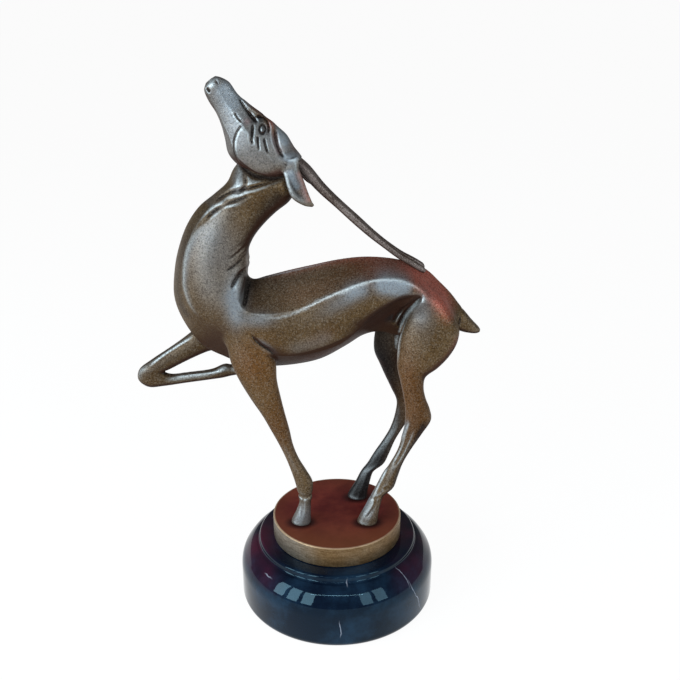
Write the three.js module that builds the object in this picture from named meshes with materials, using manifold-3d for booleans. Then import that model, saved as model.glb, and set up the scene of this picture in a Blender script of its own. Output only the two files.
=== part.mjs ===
// A bronze antelope on a round bronze plinth, bolted through a turned black marble base.
// Millimetres, +Z up. The origin is the centre of the felt's underside, the animal's head is
// towards -X, and its left side is towards -Y.

import * as THREE from 'three';
import { mergeVertices } from 'three/addons/utils/BufferGeometryUtils.js';
import Module from 'manifold-3d';

const wasm = await Module();
wasm.setup();

// Clearances
const seam = 0.3; // between a casting and the socket, pin or bed that it is brazed to
const seatGap = 0.2; // between flat faces stacked on each other
const overrun = 1; // how far a cut runs past the face that it starts from

// The figure
const figureHeight = 231.7; // sole of a hoof to the tip of the muzzle
const figureLength = 177; // bent knee to the tip of the tail
const figureSetBack = 1.75; // its plane of symmetry behind the axis of the base
const trunkWidth = 34; // across the crests of the flanks
const headWidth = 18.6; // across the cheeks
const legSpread = 25.5; // between the centre lines of a pair of hoofs
const hindLegWidth = 15; // across one thigh
const foreLegWidth = 12.8; // across one upper arm
const hornThickness = 3.2;
const hornSpacing = 3.6; // between the centre lines of the horns
const earThickness = 2.6;
const earSpread = 20; // between the tips of the ears
const rightEarTurn = 14; // degrees that the right ear is pricked up further than the left one
const tailWidth = 9;

// The bronze plinth, an upturned cup with a tapped boss
const plinthRadius = 35;
const plinthHeight = 11.4;
const plinthWall = 3.2;
const plinthEdgeRadius = 0.8;
const bossRadius = 8;

// The marble base, turned in one piece with a step
const drumRadius = 53.2;
const drumFootRadius = 4.1; // rounding of its lower edge
const drumShoulderRadius = 10.5; // rounding of its upper edge, inwards
const drumShoulderHeight = 11; // and downwards
const ledgeHeight = 33.3; // underside of the marble to the ledge
const tierRadius = 43;
const tierHeight = 3.9; // above the ledge
const tierEdgeRadius = 1.4;
const coveRadius = 1.2; // in the corner between the ledge and the tier
const counterboreRadius = 13;
const counterboreDepth = 14;
const boreClearance = 0.6; // round the stud

const feltRadius = 47;
const feltThickness = 1.2;

// The central fastening
const studRadius = 3;
const studEngagement = 7; // length in the boss
const studProjection = 1.5; // past the nut
const nutAcrossFlats = 10;
const nutHeight = 5;
const flatWasherRadius = 9;
const flatWasherThickness = 1.6;
const springWasherRadius = 5.2;
const springWasherThickness = 1.6;
const springWasherSlot = 1.2;

// The screws from the plinth into the hoofs
const screwRadius = 1.5;
const screwHeadRadius = 2.8;
const screwHeadHeight = 2;
const screwReach = 5; // into the hoof

// The dowels between the castings
const dowelRadius = 1.5;
const shoulderDowelLength = 17;
const hipDowelLength = 19;
const neckDowelLength = 18;
const headDowelLength = 12;

// Facets
const stepsAlong = 2; // between two stations of a casting
const trunkStepsAcross = 4; // between two posts of a station
const limbStepsAcross = 3;
const turnedSides = 36;
const smallSides = 16;
const roundSteps = 4; // along a quarter round

// Heights of the stack
const marbleBottom = feltThickness + seatGap;
const marbleTop = marbleBottom + ledgeHeight + tierHeight;
const plinthBottom = marbleTop + seatGap;
const plinthTop = plinthBottom + plinthHeight;
const soleHeight = plinthTop + seatGap;

// Stations of the trunk and neck, from the rump round the chest to the throat, as shares of the
// figure's length and height, and of half the trunk's width. Each row holds the spine, the crest
// of the flank, the edge of the belly or chest, and the middle of the belly or chest.
const trunkShares = [
  [[0.353, 0.517], [0.347, 0.502, 0.31], [0.342, 0.48, 0.29], [0.339, 0.47]],
  [[0.325, 0.546], [0.319, 0.511, 0.6], [0.305, 0.472, 0.59], [0.305, 0.448]],
  [[0.288, 0.575], [0.294, 0.536, 0.75], [0.266, 0.489, 0.74], [0.26, 0.439]],
  [[0.249, 0.602], [0.259, 0.562, 0.82], [0.232, 0.524, 0.76], [0.215, 0.442]],
  [[0.192, 0.619], [0.212, 0.592, 0.84], [0.192, 0.554, 0.76], [0.169, 0.446]],
  [[0.136, 0.627], [0.153, 0.601, 0.85], [0.136, 0.53, 0.76], [0.124, 0.456]],
  [[0.068, 0.629], [0.079, 0.594, 0.9], [0.073, 0.491, 0.76], [0.079, 0.45]],
  [[0, 0.623], [0.006, 0.572, 0.91], [0.011, 0.452, 0.78], [0.028, 0.425]],
  [[-0.068, 0.612], [-0.062, 0.546, 0.92], [-0.051, 0.434, 0.79], [-0.045, 0.393]],
  [[-0.136, 0.6], [-0.124, 0.529, 0.93], [-0.124, 0.424, 0.81], [-0.119, 0.379]],
  [[-0.198, 0.587], [-0.192, 0.524, 1], [-0.192, 0.43, 0.82], [-0.203, 0.374]],
  [[-0.232, 0.58], [-0.243, 0.53, 0.99], [-0.254, 0.446, 0.84], [-0.271, 0.38]],
  [[-0.246, 0.586], [-0.263, 0.546, 0.99], [-0.311, 0.474, 0.82], [-0.328, 0.397]],
  [[-0.25, 0.599], [-0.276, 0.57, 0.97], [-0.359, 0.502, 0.79], [-0.387, 0.423]],
  [[-0.249, 0.614], [-0.288, 0.591, 0.94], [-0.4, 0.539, 0.75], [-0.435, 0.476]],
  [[-0.25, 0.63], [-0.297, 0.611, 0.9], [-0.418, 0.58, 0.71], [-0.46, 0.534]],
  [[-0.243, 0.651], [-0.298, 0.637, 0.85], [-0.418, 0.627, 0.65], [-0.454, 0.599]],
  [[-0.226, 0.677], [-0.287, 0.667, 0.79], [-0.404, 0.666, 0.59], [-0.437, 0.651]],
  [[-0.197, 0.704], [-0.266, 0.697, 0.73], [-0.377, 0.707, 0.54], [-0.41, 0.7]],
  [[-0.161, 0.729], [-0.237, 0.728, 0.67], [-0.339, 0.742, 0.51], [-0.374, 0.738]],
  [[-0.128, 0.748], [-0.203, 0.755, 0.62], [-0.299, 0.77, 0.47], [-0.333, 0.763]],
  [[-0.11, 0.773], [-0.172, 0.781, 0.57], [-0.263, 0.795, 0.44], [-0.295, 0.789]],
  [[-0.107, 0.813], [-0.169, 0.812, 0.53], [-0.252, 0.814, 0.41], [-0.278, 0.815]],
  [[-0.107, 0.846], [-0.164, 0.846, 0.42], [-0.232, 0.844, 0.3], [-0.249, 0.842]],
];
const trunkFullnessShares = [0.02, 0.32, 0.06];

// Where the neck is joined to the trunk: from the nape's corner down to the front of the chest
const neckJointShares = [[-0.24, 0.61], [-0.48, 0.53]];

// Stations of the head, from the muzzle to the back of the skull, as shares of the figure's
// length and height, and of half the head's width. Each row holds the bridge of the nose, the
// brow, the cheek, the edge of the jaw, and the middle of the jaw.
const headShares = [
  [[-0.313, 0.999], [-0.314, 0.998, 0.1], [-0.324, 0.994, 0.2], [-0.334, 0.988, 0.12], [-0.338, 0.985]],
  [[-0.301, 0.996], [-0.303, 0.996, 0.24], [-0.319, 0.986, 0.42], [-0.337, 0.975, 0.3], [-0.343, 0.972]],
  [[-0.279, 0.988], [-0.282, 0.986, 0.24], [-0.302, 0.972, 0.47], [-0.325, 0.958, 0.32], [-0.334, 0.952]],
  [[-0.257, 0.964], [-0.259, 0.962, 0.24], [-0.282, 0.947, 0.5], [-0.308, 0.933, 0.34], [-0.315, 0.928]],
  [[-0.229, 0.945], [-0.231, 0.943, 0.27], [-0.26, 0.925, 0.64], [-0.294, 0.908, 0.42], [-0.303, 0.904]],
  [[-0.192, 0.923], [-0.194, 0.921, 0.3], [-0.234, 0.9, 0.86], [-0.279, 0.883, 0.6], [-0.295, 0.876]],
  [[-0.16, 0.902], [-0.162, 0.9, 0.32], [-0.209, 0.875, 1], [-0.265, 0.855, 0.76], [-0.288, 0.847]],
  [[-0.132, 0.879], [-0.135, 0.876, 0.34], [-0.181, 0.852, 1], [-0.236, 0.831, 0.8], [-0.261, 0.822]],
  [[-0.109, 0.854], [-0.112, 0.852, 0.34], [-0.15, 0.834, 0.88], [-0.189, 0.817, 0.68], [-0.206, 0.809]],
  [[-0.092, 0.839], [-0.095, 0.837, 0.32], [-0.12, 0.824, 0.6], [-0.141, 0.814, 0.45], [-0.15, 0.809]],
];
const headFullnessShares = [0.1, 0.12, 0.12, 0.1];

// Stations of the legs, from the top down, as shares of the figure's length and height. Each row
// holds the front and the rear of the leg, its distance from the plane of symmetry as a share of
// half the spread of the legs, and its half width as a share of half the leg's width.
const hindLegShares = [
  [[0.243, 0.58], [0.294, 0.549], 0.63, 0.48],
  [[0.228, 0.558], [0.328, 0.511], 0.71, 0.83],
  [[0.212, 0.528], [0.345, 0.48], 0.74, 0.96],
  [[0.188, 0.487], [0.34, 0.447], 0.75, 1.01],
  [[0.175, 0.454], [0.321, 0.419], 0.77, 0.99],
  [[0.171, 0.42], [0.29, 0.392], 0.8, 0.88],
  [[0.172, 0.392], [0.255, 0.37], 0.83, 0.75],
  [[0.181, 0.362], [0.25, 0.347], 0.86, 0.64],
  [[0.19, 0.331], [0.256, 0.321], 0.89, 0.57],
  [[0.197, 0.295], [0.27, 0.293], 0.93, 0.52],
  [[0.198, 0.265], [0.275, 0.269], 0.95, 0.49],
  [[0.194, 0.234], [0.25, 0.234], 0.96, 0.43],
  [[0.178, 0.191], [0.218, 0.193], 0.98, 0.37],
  [[0.158, 0.159], [0.196, 0.159], 0.99, 0.36],
  [[0.135, 0.126], [0.181, 0.122], 1, 0.4],
  [[0.116, 0.094], [0.17, 0.096], 1, 0.43],
  [[0.102, 0.074], [0.142, 0.074], 1, 0.4],
  [[0.084, 0.044], [0.131, 0.046], 1, 0.45],
  [[0.062, 0.008], [0.124, 0.008], 1, 0.56],
  [[0.062, 0], [0.123, 0], 1, 0.56],
];
// How far the right hind leg stands ahead of the left one at each of those stations
const strideShares = [
  0.03, 0.04, 0.05, 0.058, 0.06, 0.062, 0.061, 0.054, 0.046, 0.032,
  0.017, 0.015, 0.014, 0.015, 0.018, 0.022, 0.026, 0.026, 0.028, 0.028,
];
const standingForelegShares = [
  [[-0.308, 0.532], [-0.257, 0.524], 0.71, 0.72],
  [[-0.316, 0.485], [-0.234, 0.48], 0.75, 0.91],
  [[-0.31, 0.439], [-0.194, 0.439], 0.8, 1],
  [[-0.3, 0.4], [-0.173, 0.401], 0.85, 0.97],
  [[-0.28, 0.363], [-0.171, 0.364], 0.88, 0.87],
  [[-0.248, 0.317], [-0.161, 0.321], 0.91, 0.75],
  [[-0.217, 0.278], [-0.15, 0.282], 0.94, 0.62],
  [[-0.192, 0.24], [-0.138, 0.243], 0.96, 0.53],
  [[-0.169, 0.204], [-0.128, 0.204], 0.98, 0.45],
  [[-0.15, 0.169], [-0.112, 0.17], 0.99, 0.44],
  [[-0.136, 0.137], [-0.09, 0.139], 1, 0.47],
  [[-0.126, 0.11], [-0.072, 0.11], 1, 0.5],
  [[-0.115, 0.083], [-0.079, 0.083], 1, 0.44],
  [[-0.112, 0.062], [-0.081, 0.062], 1, 0.44],
  [[-0.122, 0.036], [-0.079, 0.034], 1, 0.55],
  [[-0.138, 0.008], [-0.079, 0.008], 1, 0.66],
  [[-0.139, 0], [-0.079, 0], 1, 0.66],
];
const raisedForelegShares = [
  [[-0.305, 0.528], [-0.249, 0.463], 0.5, 0.66],
  [[-0.359, 0.502], [-0.297, 0.435], 0.53, 0.78],
  [[-0.404, 0.461], [-0.336, 0.408], 0.55, 0.75],
  [[-0.444, 0.434], [-0.379, 0.398], 0.56, 0.67],
  [[-0.498, 0.403], [-0.438, 0.377], 0.57, 0.61],
  [[-0.551, 0.376], [-0.497, 0.353], 0.57, 0.58],
  [[-0.589, 0.352], [-0.512, 0.348], 0.57, 0.59],
  [[-0.594, 0.327], [-0.51, 0.344], 0.57, 0.59],
  [[-0.567, 0.309], [-0.498, 0.341], 0.57, 0.56],
  [[-0.52, 0.311], [-0.478, 0.34], 0.57, 0.48],
  [[-0.452, 0.319], [-0.436, 0.344], 0.57, 0.42],
  [[-0.381, 0.327], [-0.374, 0.352], 0.57, 0.42],
  [[-0.339, 0.332], [-0.332, 0.366], 0.57, 0.48],
  [[-0.314, 0.337], [-0.308, 0.364], 0.57, 0.44],
  [[-0.26, 0.344], [-0.246, 0.378], 0.57, 0.59],
];
const legFullnessShares = [0.7, 0.9]; // ahead of a leg's widest line, and behind it
const roundFullnessShares = [1, 1];

// Centre line of a horn, and its thickness there as a share of the horn's own
const hornShares = [
  [-0.139, 0.864, 1.5],
  [-0.082, 0.813, 1.75],
  [-0.04, 0.776, 1.4],
  [0.008, 0.741, 1.22],
  [0.052, 0.71, 1.25],
  [0.097, 0.679, 1.12],
  [0.138, 0.654, 1],
  [0.176, 0.634, 1],
  [0.214, 0.618, 1.05],
  [0.237, 0.607, 1],
  [0.245, 0.602, 0.55],
];
// Stations of an ear: front edge, rear edge, distance from the plane of symmetry as a share of
// half the spread of the tips, and thickness as a share of the ear's own
const earShares = [
  [[-0.152, 0.832], [-0.098, 0.846], 0.6, 0.9],
  [[-0.139, 0.81], [-0.098, 0.824], 0.76, 1],
  [[-0.131, 0.786], [-0.086, 0.8], 0.87, 1],
  [[-0.118, 0.764], [-0.076, 0.779], 0.95, 0.8],
  [[-0.086, 0.749], [-0.064, 0.757], 1, 0.5],
  [[-0.065, 0.746], [-0.058, 0.75], 1, 0.3],
];
const earRootShares = [-0.125, 0.837]; // the point that a pricked ear turns about
const tailShares = [
  [[0.333, 0.528], [0.316, 0.467], 1],
  [[0.362, 0.508], [0.342, 0.463], 0.9],
  [[0.385, 0.487], [0.367, 0.457], 0.72],
  [[0.406, 0.47], [0.397, 0.454], 0.5],
  [[0.413, 0.463], [0.41, 0.456], 0.28],
];

// Places of the dowels: on the joint of the neck, on the head's, and through shoulders and hips
const neckDowelShares = [-0.34, 0.577];
const headDowelShares = [-0.19, 0.83];
const shoulderDowelShares = [-0.292, 0.483];
const hipDowelShares = [0.276, 0.487];

// Materials
const bronze = () => new THREE.MeshStandardMaterial({ color: 0x5c4b37, roughness: 0.42, metalness: 0.9 });
const rawBronze = () => new THREE.MeshStandardMaterial({ color: 0x9a7440, roughness: 0.5, metalness: 1 });
const steel = () => new THREE.MeshStandardMaterial({ color: 0x9b9ea2, roughness: 0.35, metalness: 1 });
const blackMarble = () => new THREE.MeshStandardMaterial({ color: 0x0d0e12, roughness: 0.08, metalness: 0 });
const felt = () => new THREE.MeshStandardMaterial({ color: 0x14161a, roughness: 0.95, metalness: 0 });

// Solids and cuts

// A closed geometry as a solid that can be joined and cut
function solid(geometry) {
  const bare = geometry.clone();
  bare.deleteAttribute('normal');
  bare.deleteAttribute('uv');
  const merged = mergeVertices(bare);
  return new wasm.Manifold(new wasm.Mesh({
    numProp: 3,
    vertProperties: merged.getAttribute('position').array,
    triVerts: new Uint32Array(merged.index.array),
  }));
}

function geometryOf(body) {
  const mesh = body.getMesh();
  const geometry = new THREE.BufferGeometry();
  geometry.setAttribute('position', new THREE.Float32BufferAttribute(mesh.vertProperties, 3));
  geometry.setIndex(Array.from(mesh.triVerts));
  geometry.computeVertexNormals();
  return geometry;
}

function without(body, ...tools) {
  return tools.reduce((left, tool) => left.subtract(tool), body);
}

// The geometry pushed outwards along its normals
function grown(geometry, margin) {
  const larger = geometry.clone();
  larger.computeVertexNormals();
  const position = larger.getAttribute('position');
  const normal = larger.getAttribute('normal');
  for (let i = 0; i < position.count; i += 1) {
    position.setXYZ(
      i,
      position.getX(i) + normal.getX(i) * margin,
      position.getY(i) + normal.getY(i) * margin,
      position.getZ(i) + normal.getZ(i) * margin,
    );
  }
  return larger;
}

// A round bar from one point to another
function bar(from, to, radius, sides = smallSides) {
  const along = to.clone().sub(from);
  const geometry = new THREE.CylinderGeometry(radius, radius, along.length(), sides);
  const turn = new THREE.Quaternion().setFromUnitVectors(new THREE.Vector3(0, 1, 0), along.normalize());
  geometry.applyQuaternion(turn);
  geometry.translate(...from.clone().lerp(to, 0.5).toArray());
  return geometry;
}

// A turned solid from radius and height pairs, closed on itself
function turned(profile, sides = turnedSides) {
  const points = profile.map(([radius, height]) => new THREE.Vector2(radius, height));
  const geometry = new THREE.LatheGeometry([...points, points[0]], sides);
  geometry.rotateX(Math.PI / 2);
  return geometry;
}

// Points of a quarter round between two directions, given in quarter turns
function quarter(centreRadius, centreHeight, radius, startQuarter, endQuarter, steps = roundSteps) {
  return Array.from({ length: steps + 1 }, (_, i) => {
    const angle = (startQuarter + ((endQuarter - startQuarter) * i) / steps) * (Math.PI / 2);
    return [centreRadius + radius * Math.cos(angle), centreHeight + radius * Math.sin(angle)];
  });
}

// Lofts

// A point of the figure from shares of its length and height
function place([lengthShare, heightShare], across = 0) {
  return new THREE.Vector3(lengthShare * figureLength, across, soleHeight + heightShare * figureHeight);
}

// One ring of a loft. The posts run down one side, from the upper or front edge to the lower or
// rear edge, and the other side mirrors them. Fullness 0 is a flat facet, and 1 an oval quarter.
function ring(posts, fullnessShares, steps) {
  const centre = posts[0].clone().lerp(posts.at(-1), 0.5);
  const half = [];
  for (let k = 0; k + 1 < posts.length; k += 1) {
    const middle = posts[k].clone().lerp(posts[k + 1], 0.5);
    const control = middle.clone().sub(centre).multiplyScalar(fullnessShares[k]).add(middle);
    const arc = new THREE.QuadraticBezierCurve3(posts[k], control, posts[k + 1]);
    half.push(...arc.getPoints(steps).slice(0, steps));
  }
  half.push(posts.at(-1));
  const mirrored = half.slice(1, -1).reverse().map((p) => new THREE.Vector3(p.x, 2 * centre.y - p.y, p.z));
  return [...half, ...mirrored];
}

// Rings joined into one closed skin, with a fan over each end
function skin(rings) {
  const count = rings[0].length;
  const points = rings.flat();
  const faces = [];
  for (let i = 0; i + 1 < rings.length; i += 1) {
    for (let j = 0; j < count; j += 1) {
      const next = (j + 1) % count;
      const [near, far] = [i * count, (i + 1) * count];
      faces.push(near + j, near + next, far + next, near + j, far + next, far + j);
    }
  }
  for (const [first, order] of [[0, -1], [(rings.length - 1) * count, 1]]) {
    const hub = points.length;
    const middle = new THREE.Vector3();
    for (let j = 0; j < count; j += 1) {
      middle.addScaledVector(points[first + j], 1 / count);
      const pair = [first + j, first + ((j + 1) % count)];
      faces.push(hub, ...(order > 0 ? pair : pair.reverse()));
    }
    points.push(middle);
  }
  const geometry = new THREE.BufferGeometry();
  geometry.setAttribute('position', new THREE.Float32BufferAttribute(points.flatMap((p) => p.toArray()), 3));
  geometry.setIndex(volume(points, faces) < 0 ? faces.reverse() : faces);
  return geometry;
}

function volume(points, faces) {
  let sum = 0;
  for (let i = 0; i < faces.length; i += 3) {
    const [a, b, c] = [points[faces[i]], points[faces[i + 1]], points[faces[i + 2]]];
    sum += a.dot(b.clone().cross(c)) / 6;
  }
  return sum;
}

// Stations joined by smooth rails, one through each post
function loft(stations, fullnessShares, stepsAcross) {
  const rails = stations[0].map((_, k) => new THREE.CatmullRomCurve3(stations.map((posts) => posts[k])));
  const count = (stations.length - 1) * stepsAlong;
  const rings = Array.from({ length: count + 1 }, (_, i) => {
    const posts = rails.map((rail) => rail.getPoint(i / count));
    return ring(posts, fullnessShares, stepsAcross);
  });
  return skin(rings);
}

// The castings of the figure

function trunkAndNeck() {
  const half = trunkWidth / 2;
  const stations = trunkShares.map(([spine, crest, edge, belly]) => [
    place(spine),
    place(crest, -crest[2] * half),
    place(edge, -edge[2] * half),
    place(belly),
  ]);
  return loft(stations, trunkFullnessShares, trunkStepsAcross);
}

function headSkin() {
  const half = headWidth / 2;
  const stations = headShares.map(([bridge, brow, cheek, jaw, chin]) => [
    place(bridge),
    place(brow, -brow[2] * half),
    place(cheek, -cheek[2] * half),
    place(jaw, -jaw[2] * half),
    place(chin),
  ]);
  return loft(stations, headFullnessShares, limbStepsAcross);
}

// A leg on one side of the plane of symmetry: side -1 is the left one, and 1 the right one
function leg(rows, side, width, aheadShares) {
  const stations = rows.map(([front, rear, acrossShare, widthShare], i) => {
    const across = (side * acrossShare * legSpread) / 2;
    const ahead = aheadShares ? aheadShares[i] * figureLength : 0;
    const frontPost = place(front, across);
    const rearPost = place(rear, across);
    const widest = frontPost.clone().lerp(rearPost, 0.5);
    widest.y -= (widthShare * width) / 2;
    return [frontPost, widest, rearPost].map((post) => post.setX(post.x - ahead));
  });
  return loft(stations, legFullnessShares, limbStepsAcross);
}

function horn(side) {
  const stations = hornShares.map(([lengthShare, heightShare, thicknessShare], i) => {
    const centre = place([lengthShare, heightShare], (side * hornSpacing) / 2);
    const before = hornShares[Math.max(i - 1, 0)];
    const after = hornShares[Math.min(i + 1, hornShares.length - 1)];
    const across = place(after).sub(place(before)).normalize().cross(new THREE.Vector3(0, 1, 0));
    const radius = (thicknessShare * hornThickness) / 2;
    const sideways = new THREE.Vector3(0, -Math.min(radius, (hornSpacing - seam) / 2), 0);
    return [
      centre.clone().addScaledVector(across, -radius),
      centre.clone().add(sideways),
      centre.clone().addScaledVector(across, radius),
    ];
  });
  return loft(stations, roundFullnessShares, limbStepsAcross);
}

function ear(side, turn = 0) {
  const root = place(earRootShares);
  const angle = THREE.MathUtils.degToRad(turn);
  const swing = new THREE.Quaternion().setFromAxisAngle(new THREE.Vector3(0, -1, 0), angle);
  const pricked = (shares, across) => place(shares, across).sub(root).applyQuaternion(swing).add(root);
  const stations = earShares.map(([front, rear, acrossShare, thicknessShare]) => {
    const across = (side * acrossShare * earSpread) / 2;
    const frontPost = pricked(front, across);
    const rearPost = pricked(rear, across);
    const widest = frontPost.clone().lerp(rearPost, 0.5);
    widest.y -= (thicknessShare * earThickness) / 2;
    return [frontPost, widest, rearPost];
  });
  return loft(stations, roundFullnessShares, limbStepsAcross);
}

function tail() {
  const stations = tailShares.map(([upper, lower, widthShare]) => {
    const upperPost = place(upper);
    const lowerPost = place(lower);
    const widest = upperPost.clone().lerp(lowerPost, 0.5);
    widest.y -= (widthShare * tailWidth) / 2;
    return [upperPost, widest, lowerPost];
  });
  return loft(stations, roundFullnessShares, limbStepsAcross);
}

// Everything above the neck's joint, or below it, kept half a seam away from the joint
function neckSide(direction) {
  const [nape, chest] = neckJointShares.map((shares) => place(shares));
  const along = nape.clone().sub(chest).normalize();
  const across = new THREE.Vector3(0, 1, 0);
  const up = along.clone().cross(across);
  const size = figureHeight + figureLength;
  const box = new THREE.BoxGeometry(size, size, size);
  box.applyMatrix4(new THREE.Matrix4().makeBasis(along, across, up));
  const middle = nape.clone().lerp(chest, 0.5).addScaledVector(up, (direction * (size + seam)) / 2);
  box.translate(...middle.toArray());
  return { box: solid(box), up };
}

// Dowels, each as its own bar and as the hole that it sits in
function dowel(from, to) {
  const along = to.clone().sub(from).normalize().multiplyScalar(seam);
  return {
    pin: bar(from, to, dowelRadius),
    hole: solid(bar(from.clone().sub(along), to.clone().add(along), dowelRadius + seam)),
  };
}

function crossDowel(shares, length) {
  return dowel(place(shares, -length / 2), place(shares, length / 2));
}

// A screw up through the plinth into a hoof, and the hole that it needs
function hoofScrew(x, y) {
  const plateBottom = plinthTop - plinthWall;
  const shank = bar(
    new THREE.Vector3(x, y, plateBottom - seatGap - screwHeadHeight / 2),
    new THREE.Vector3(x, y, soleHeight + screwReach),
    screwRadius,
  );
  const head = bar(
    new THREE.Vector3(x, y, plateBottom - seatGap - screwHeadHeight),
    new THREE.Vector3(x, y, plateBottom - seatGap),
    screwHeadRadius,
  );
  const hole = bar(
    new THREE.Vector3(x, y, plateBottom - overrun),
    new THREE.Vector3(x, y, soleHeight + screwReach + seam),
    screwRadius + seam,
  );
  return { screw: geometryOf(solid(shank).add(solid(head))), hole: solid(hole) };
}

// The base

function plinth() {
  const inner = plinthRadius - plinthWall;
  const plate = plinthHeight - plinthWall;
  const edge = plinthEdgeRadius;
  return turned([
    [studRadius + seam, 0],
    [bossRadius, 0],
    [bossRadius, plate],
    [inner, plate],
    [inner, 0],
    [plinthRadius, 0],
    ...quarter(plinthRadius - edge, plinthHeight - edge, edge, 0, 1, roundSteps / 2),
    [0, plinthHeight],
    [0, studEngagement + seam],
    [studRadius + seam, studEngagement + seam],
  ]);
}

function marbleBase() {
  const shoulder = drumShoulderRadius;
  const ledge = ledgeHeight;
  const top = ledge + tierHeight;
  const bore = studRadius + boreClearance;
  const shoulderPoints = quarter(0, 0, 1, 0, 1, roundSteps * 2).map(([outShare, upShare]) => [
    drumRadius - shoulder + shoulder * outShare,
    ledge - drumShoulderHeight + drumShoulderHeight * upShare,
  ]);
  return turned([
    [counterboreRadius, 0],
    ...quarter(drumRadius - drumFootRadius, drumFootRadius, drumFootRadius, -1, 0),
    ...shoulderPoints.filter(([radius]) => radius > tierRadius + coveRadius),
    ...quarter(tierRadius + coveRadius, ledge + coveRadius, coveRadius, -1, -2, roundSteps / 2),
    ...quarter(tierRadius - tierEdgeRadius, top - tierEdgeRadius, tierEdgeRadius, 0, 1, roundSteps / 2),
    [bore, top],
    [bore, counterboreDepth],
    [counterboreRadius, counterboreDepth],
  ]);
}

function ringPlate(outerRadius, innerRadius, thickness, sides = smallSides) {
  const bottom = [[innerRadius, 0], [outerRadius, 0]];
  const top = [[outerRadius, thickness], [innerRadius, thickness]];
  return turned([...bottom, ...top], sides);
}

function springWasher() {
  const plate = solid(ringPlate(springWasherRadius, studRadius + seam, springWasherThickness));
  const reach = springWasherRadius + overrun;
  const slot = new THREE.BoxGeometry(reach, springWasherSlot, springWasherThickness + overrun);
  slot.translate(reach / 2, 0, springWasherThickness / 2);
  return geometryOf(plate.subtract(solid(slot)));
}

function hexNut() {
  const corner = nutAcrossFlats / (2 * Math.cos(Math.PI / 6));
  const hexagon = new THREE.CylinderGeometry(corner, corner, nutHeight, 6);
  hexagon.rotateX(Math.PI / 2);
  hexagon.translate(0, 0, nutHeight / 2);
  const bore = bar(
    new THREE.Vector3(0, 0, -overrun),
    new THREE.Vector3(0, 0, nutHeight + overrun),
    studRadius + seam,
  );
  return geometryOf(solid(hexagon).subtract(solid(bore)));
}

// The assembly

const statuette = new THREE.Group();
const figure = new THREE.Group();
figure.position.y = figureSetBack;
statuette.add(figure);

function add(name, geometry, material, parent = statuette, height = 0) {
  const mesh = new THREE.Mesh(geometry, material);
  mesh.name = name;
  mesh.position.z = height;
  parent.add(mesh);
  return mesh;
}

const whole = solid(trunkAndNeck());
const upperSide = neckSide(1);
const lowerSide = neckSide(-1);
const headGeometry = headSkin();
const legGeometries = {
  left_hindleg: leg(hindLegShares, -1, hindLegWidth),
  right_hindleg: leg(hindLegShares, 1, hindLegWidth, strideShares),
  standing_foreleg: leg(standingForelegShares, -1, foreLegWidth),
  raised_foreleg: leg(raisedForelegShares, 1, foreLegWidth),
};
const hornGeometries = { left_horn: horn(-1), right_horn: horn(1) };
const earGeometries = { left_ear: ear(-1), right_ear: ear(1, rightEarTurn) };
const tailGeometry = tail();

const socket = (geometry) => solid(grown(geometry, seam));
const legSockets = Object.values(legGeometries).map(socket);
const hornSockets = Object.values(hornGeometries).map(socket);
const earSockets = Object.values(earGeometries).map(socket);

const shoulderDowel = crossDowel(shoulderDowelShares, shoulderDowelLength);
const hipDowel = crossDowel(hipDowelShares, hipDowelLength);
const neckMiddle = place(neckDowelShares);
const neckReach = upperSide.up.clone().multiplyScalar(neckDowelLength / 2);
const neckDowel = dowel(neckMiddle.clone().sub(neckReach), neckMiddle.clone().add(neckReach));
const headMiddle = place(headDowelShares);
const headReach = new THREE.Vector3(0, 0, headDowelLength / 2);
const headDowel = dowel(headMiddle.clone().sub(headReach), headMiddle.clone().add(headReach));

const trunk = without(
  whole.intersect(lowerSide.box),
  ...legSockets,
  ...hornSockets,
  socket(tailGeometry),
  neckDowel.hole,
  shoulderDowel.hole,
  hipDowel.hole,
);
const neck = without(
  whole.intersect(upperSide.box),
  socket(headGeometry),
  ...legSockets,
  ...hornSockets,
  ...earSockets,
  neckDowel.hole,
  headDowel.hole,
);
const head = without(solid(headGeometry), ...hornSockets, ...earSockets, headDowel.hole);
add('torso', geometryOf(trunk), bronze(), figure);
add('neck', geometryOf(neck), bronze(), figure);
add('head', geometryOf(head), bronze(), figure);
for (const [name, geometry] of Object.entries({ ...hornGeometries, ...earGeometries })) {
  add(name, geometry, bronze(), figure);
}
add('tail', geometryOf(without(solid(tailGeometry), ...legSockets)), bronze(), figure);

const soles = {
  left_hindleg: [hindLegShares.at(-1), -1, 0],
  right_hindleg: [hindLegShares.at(-1), 1, strideShares.at(-1)],
  standing_foreleg: [standingForelegShares.at(-1), -1, 0],
};
const soleRows = Object.entries(soles);
const screws = Object.fromEntries(soleRows.map(([name, [[front, rear, acrossShare], side, aheadShare]]) => {
  const x = ((front[0] + rear[0]) / 2 - aheadShare) * figureLength;
  const y = (side * acrossShare * legSpread) / 2 + figureSetBack;
  return [name, hoofScrew(x, y)];
}));
for (const [name, geometry] of Object.entries(legGeometries)) {
  const holes = [shoulderDowel.hole, hipDowel.hole];
  if (screws[name]) {
    holes.push(screws[name].hole.translate([0, -figureSetBack, 0]));
  }
  add(name, geometryOf(without(solid(geometry), ...holes)), bronze(), figure);
}
add('neck_dowel', neckDowel.pin, rawBronze(), figure);
add('head_dowel', headDowel.pin, rawBronze(), figure);
add('shoulder_dowel', shoulderDowel.pin, rawBronze(), figure);
add('hip_dowel', hipDowel.pin, rawBronze(), figure);

const screwHoles = Object.values(screws).map(({ hole }) => hole.translate([0, 0, -plinthBottom]));
add('plinth', geometryOf(without(solid(plinth()), ...screwHoles)), bronze(), statuette, plinthBottom);
for (const [name, { screw }] of Object.entries(screws)) {
  add(`${name}_screw`, screw, steel());
}

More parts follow.
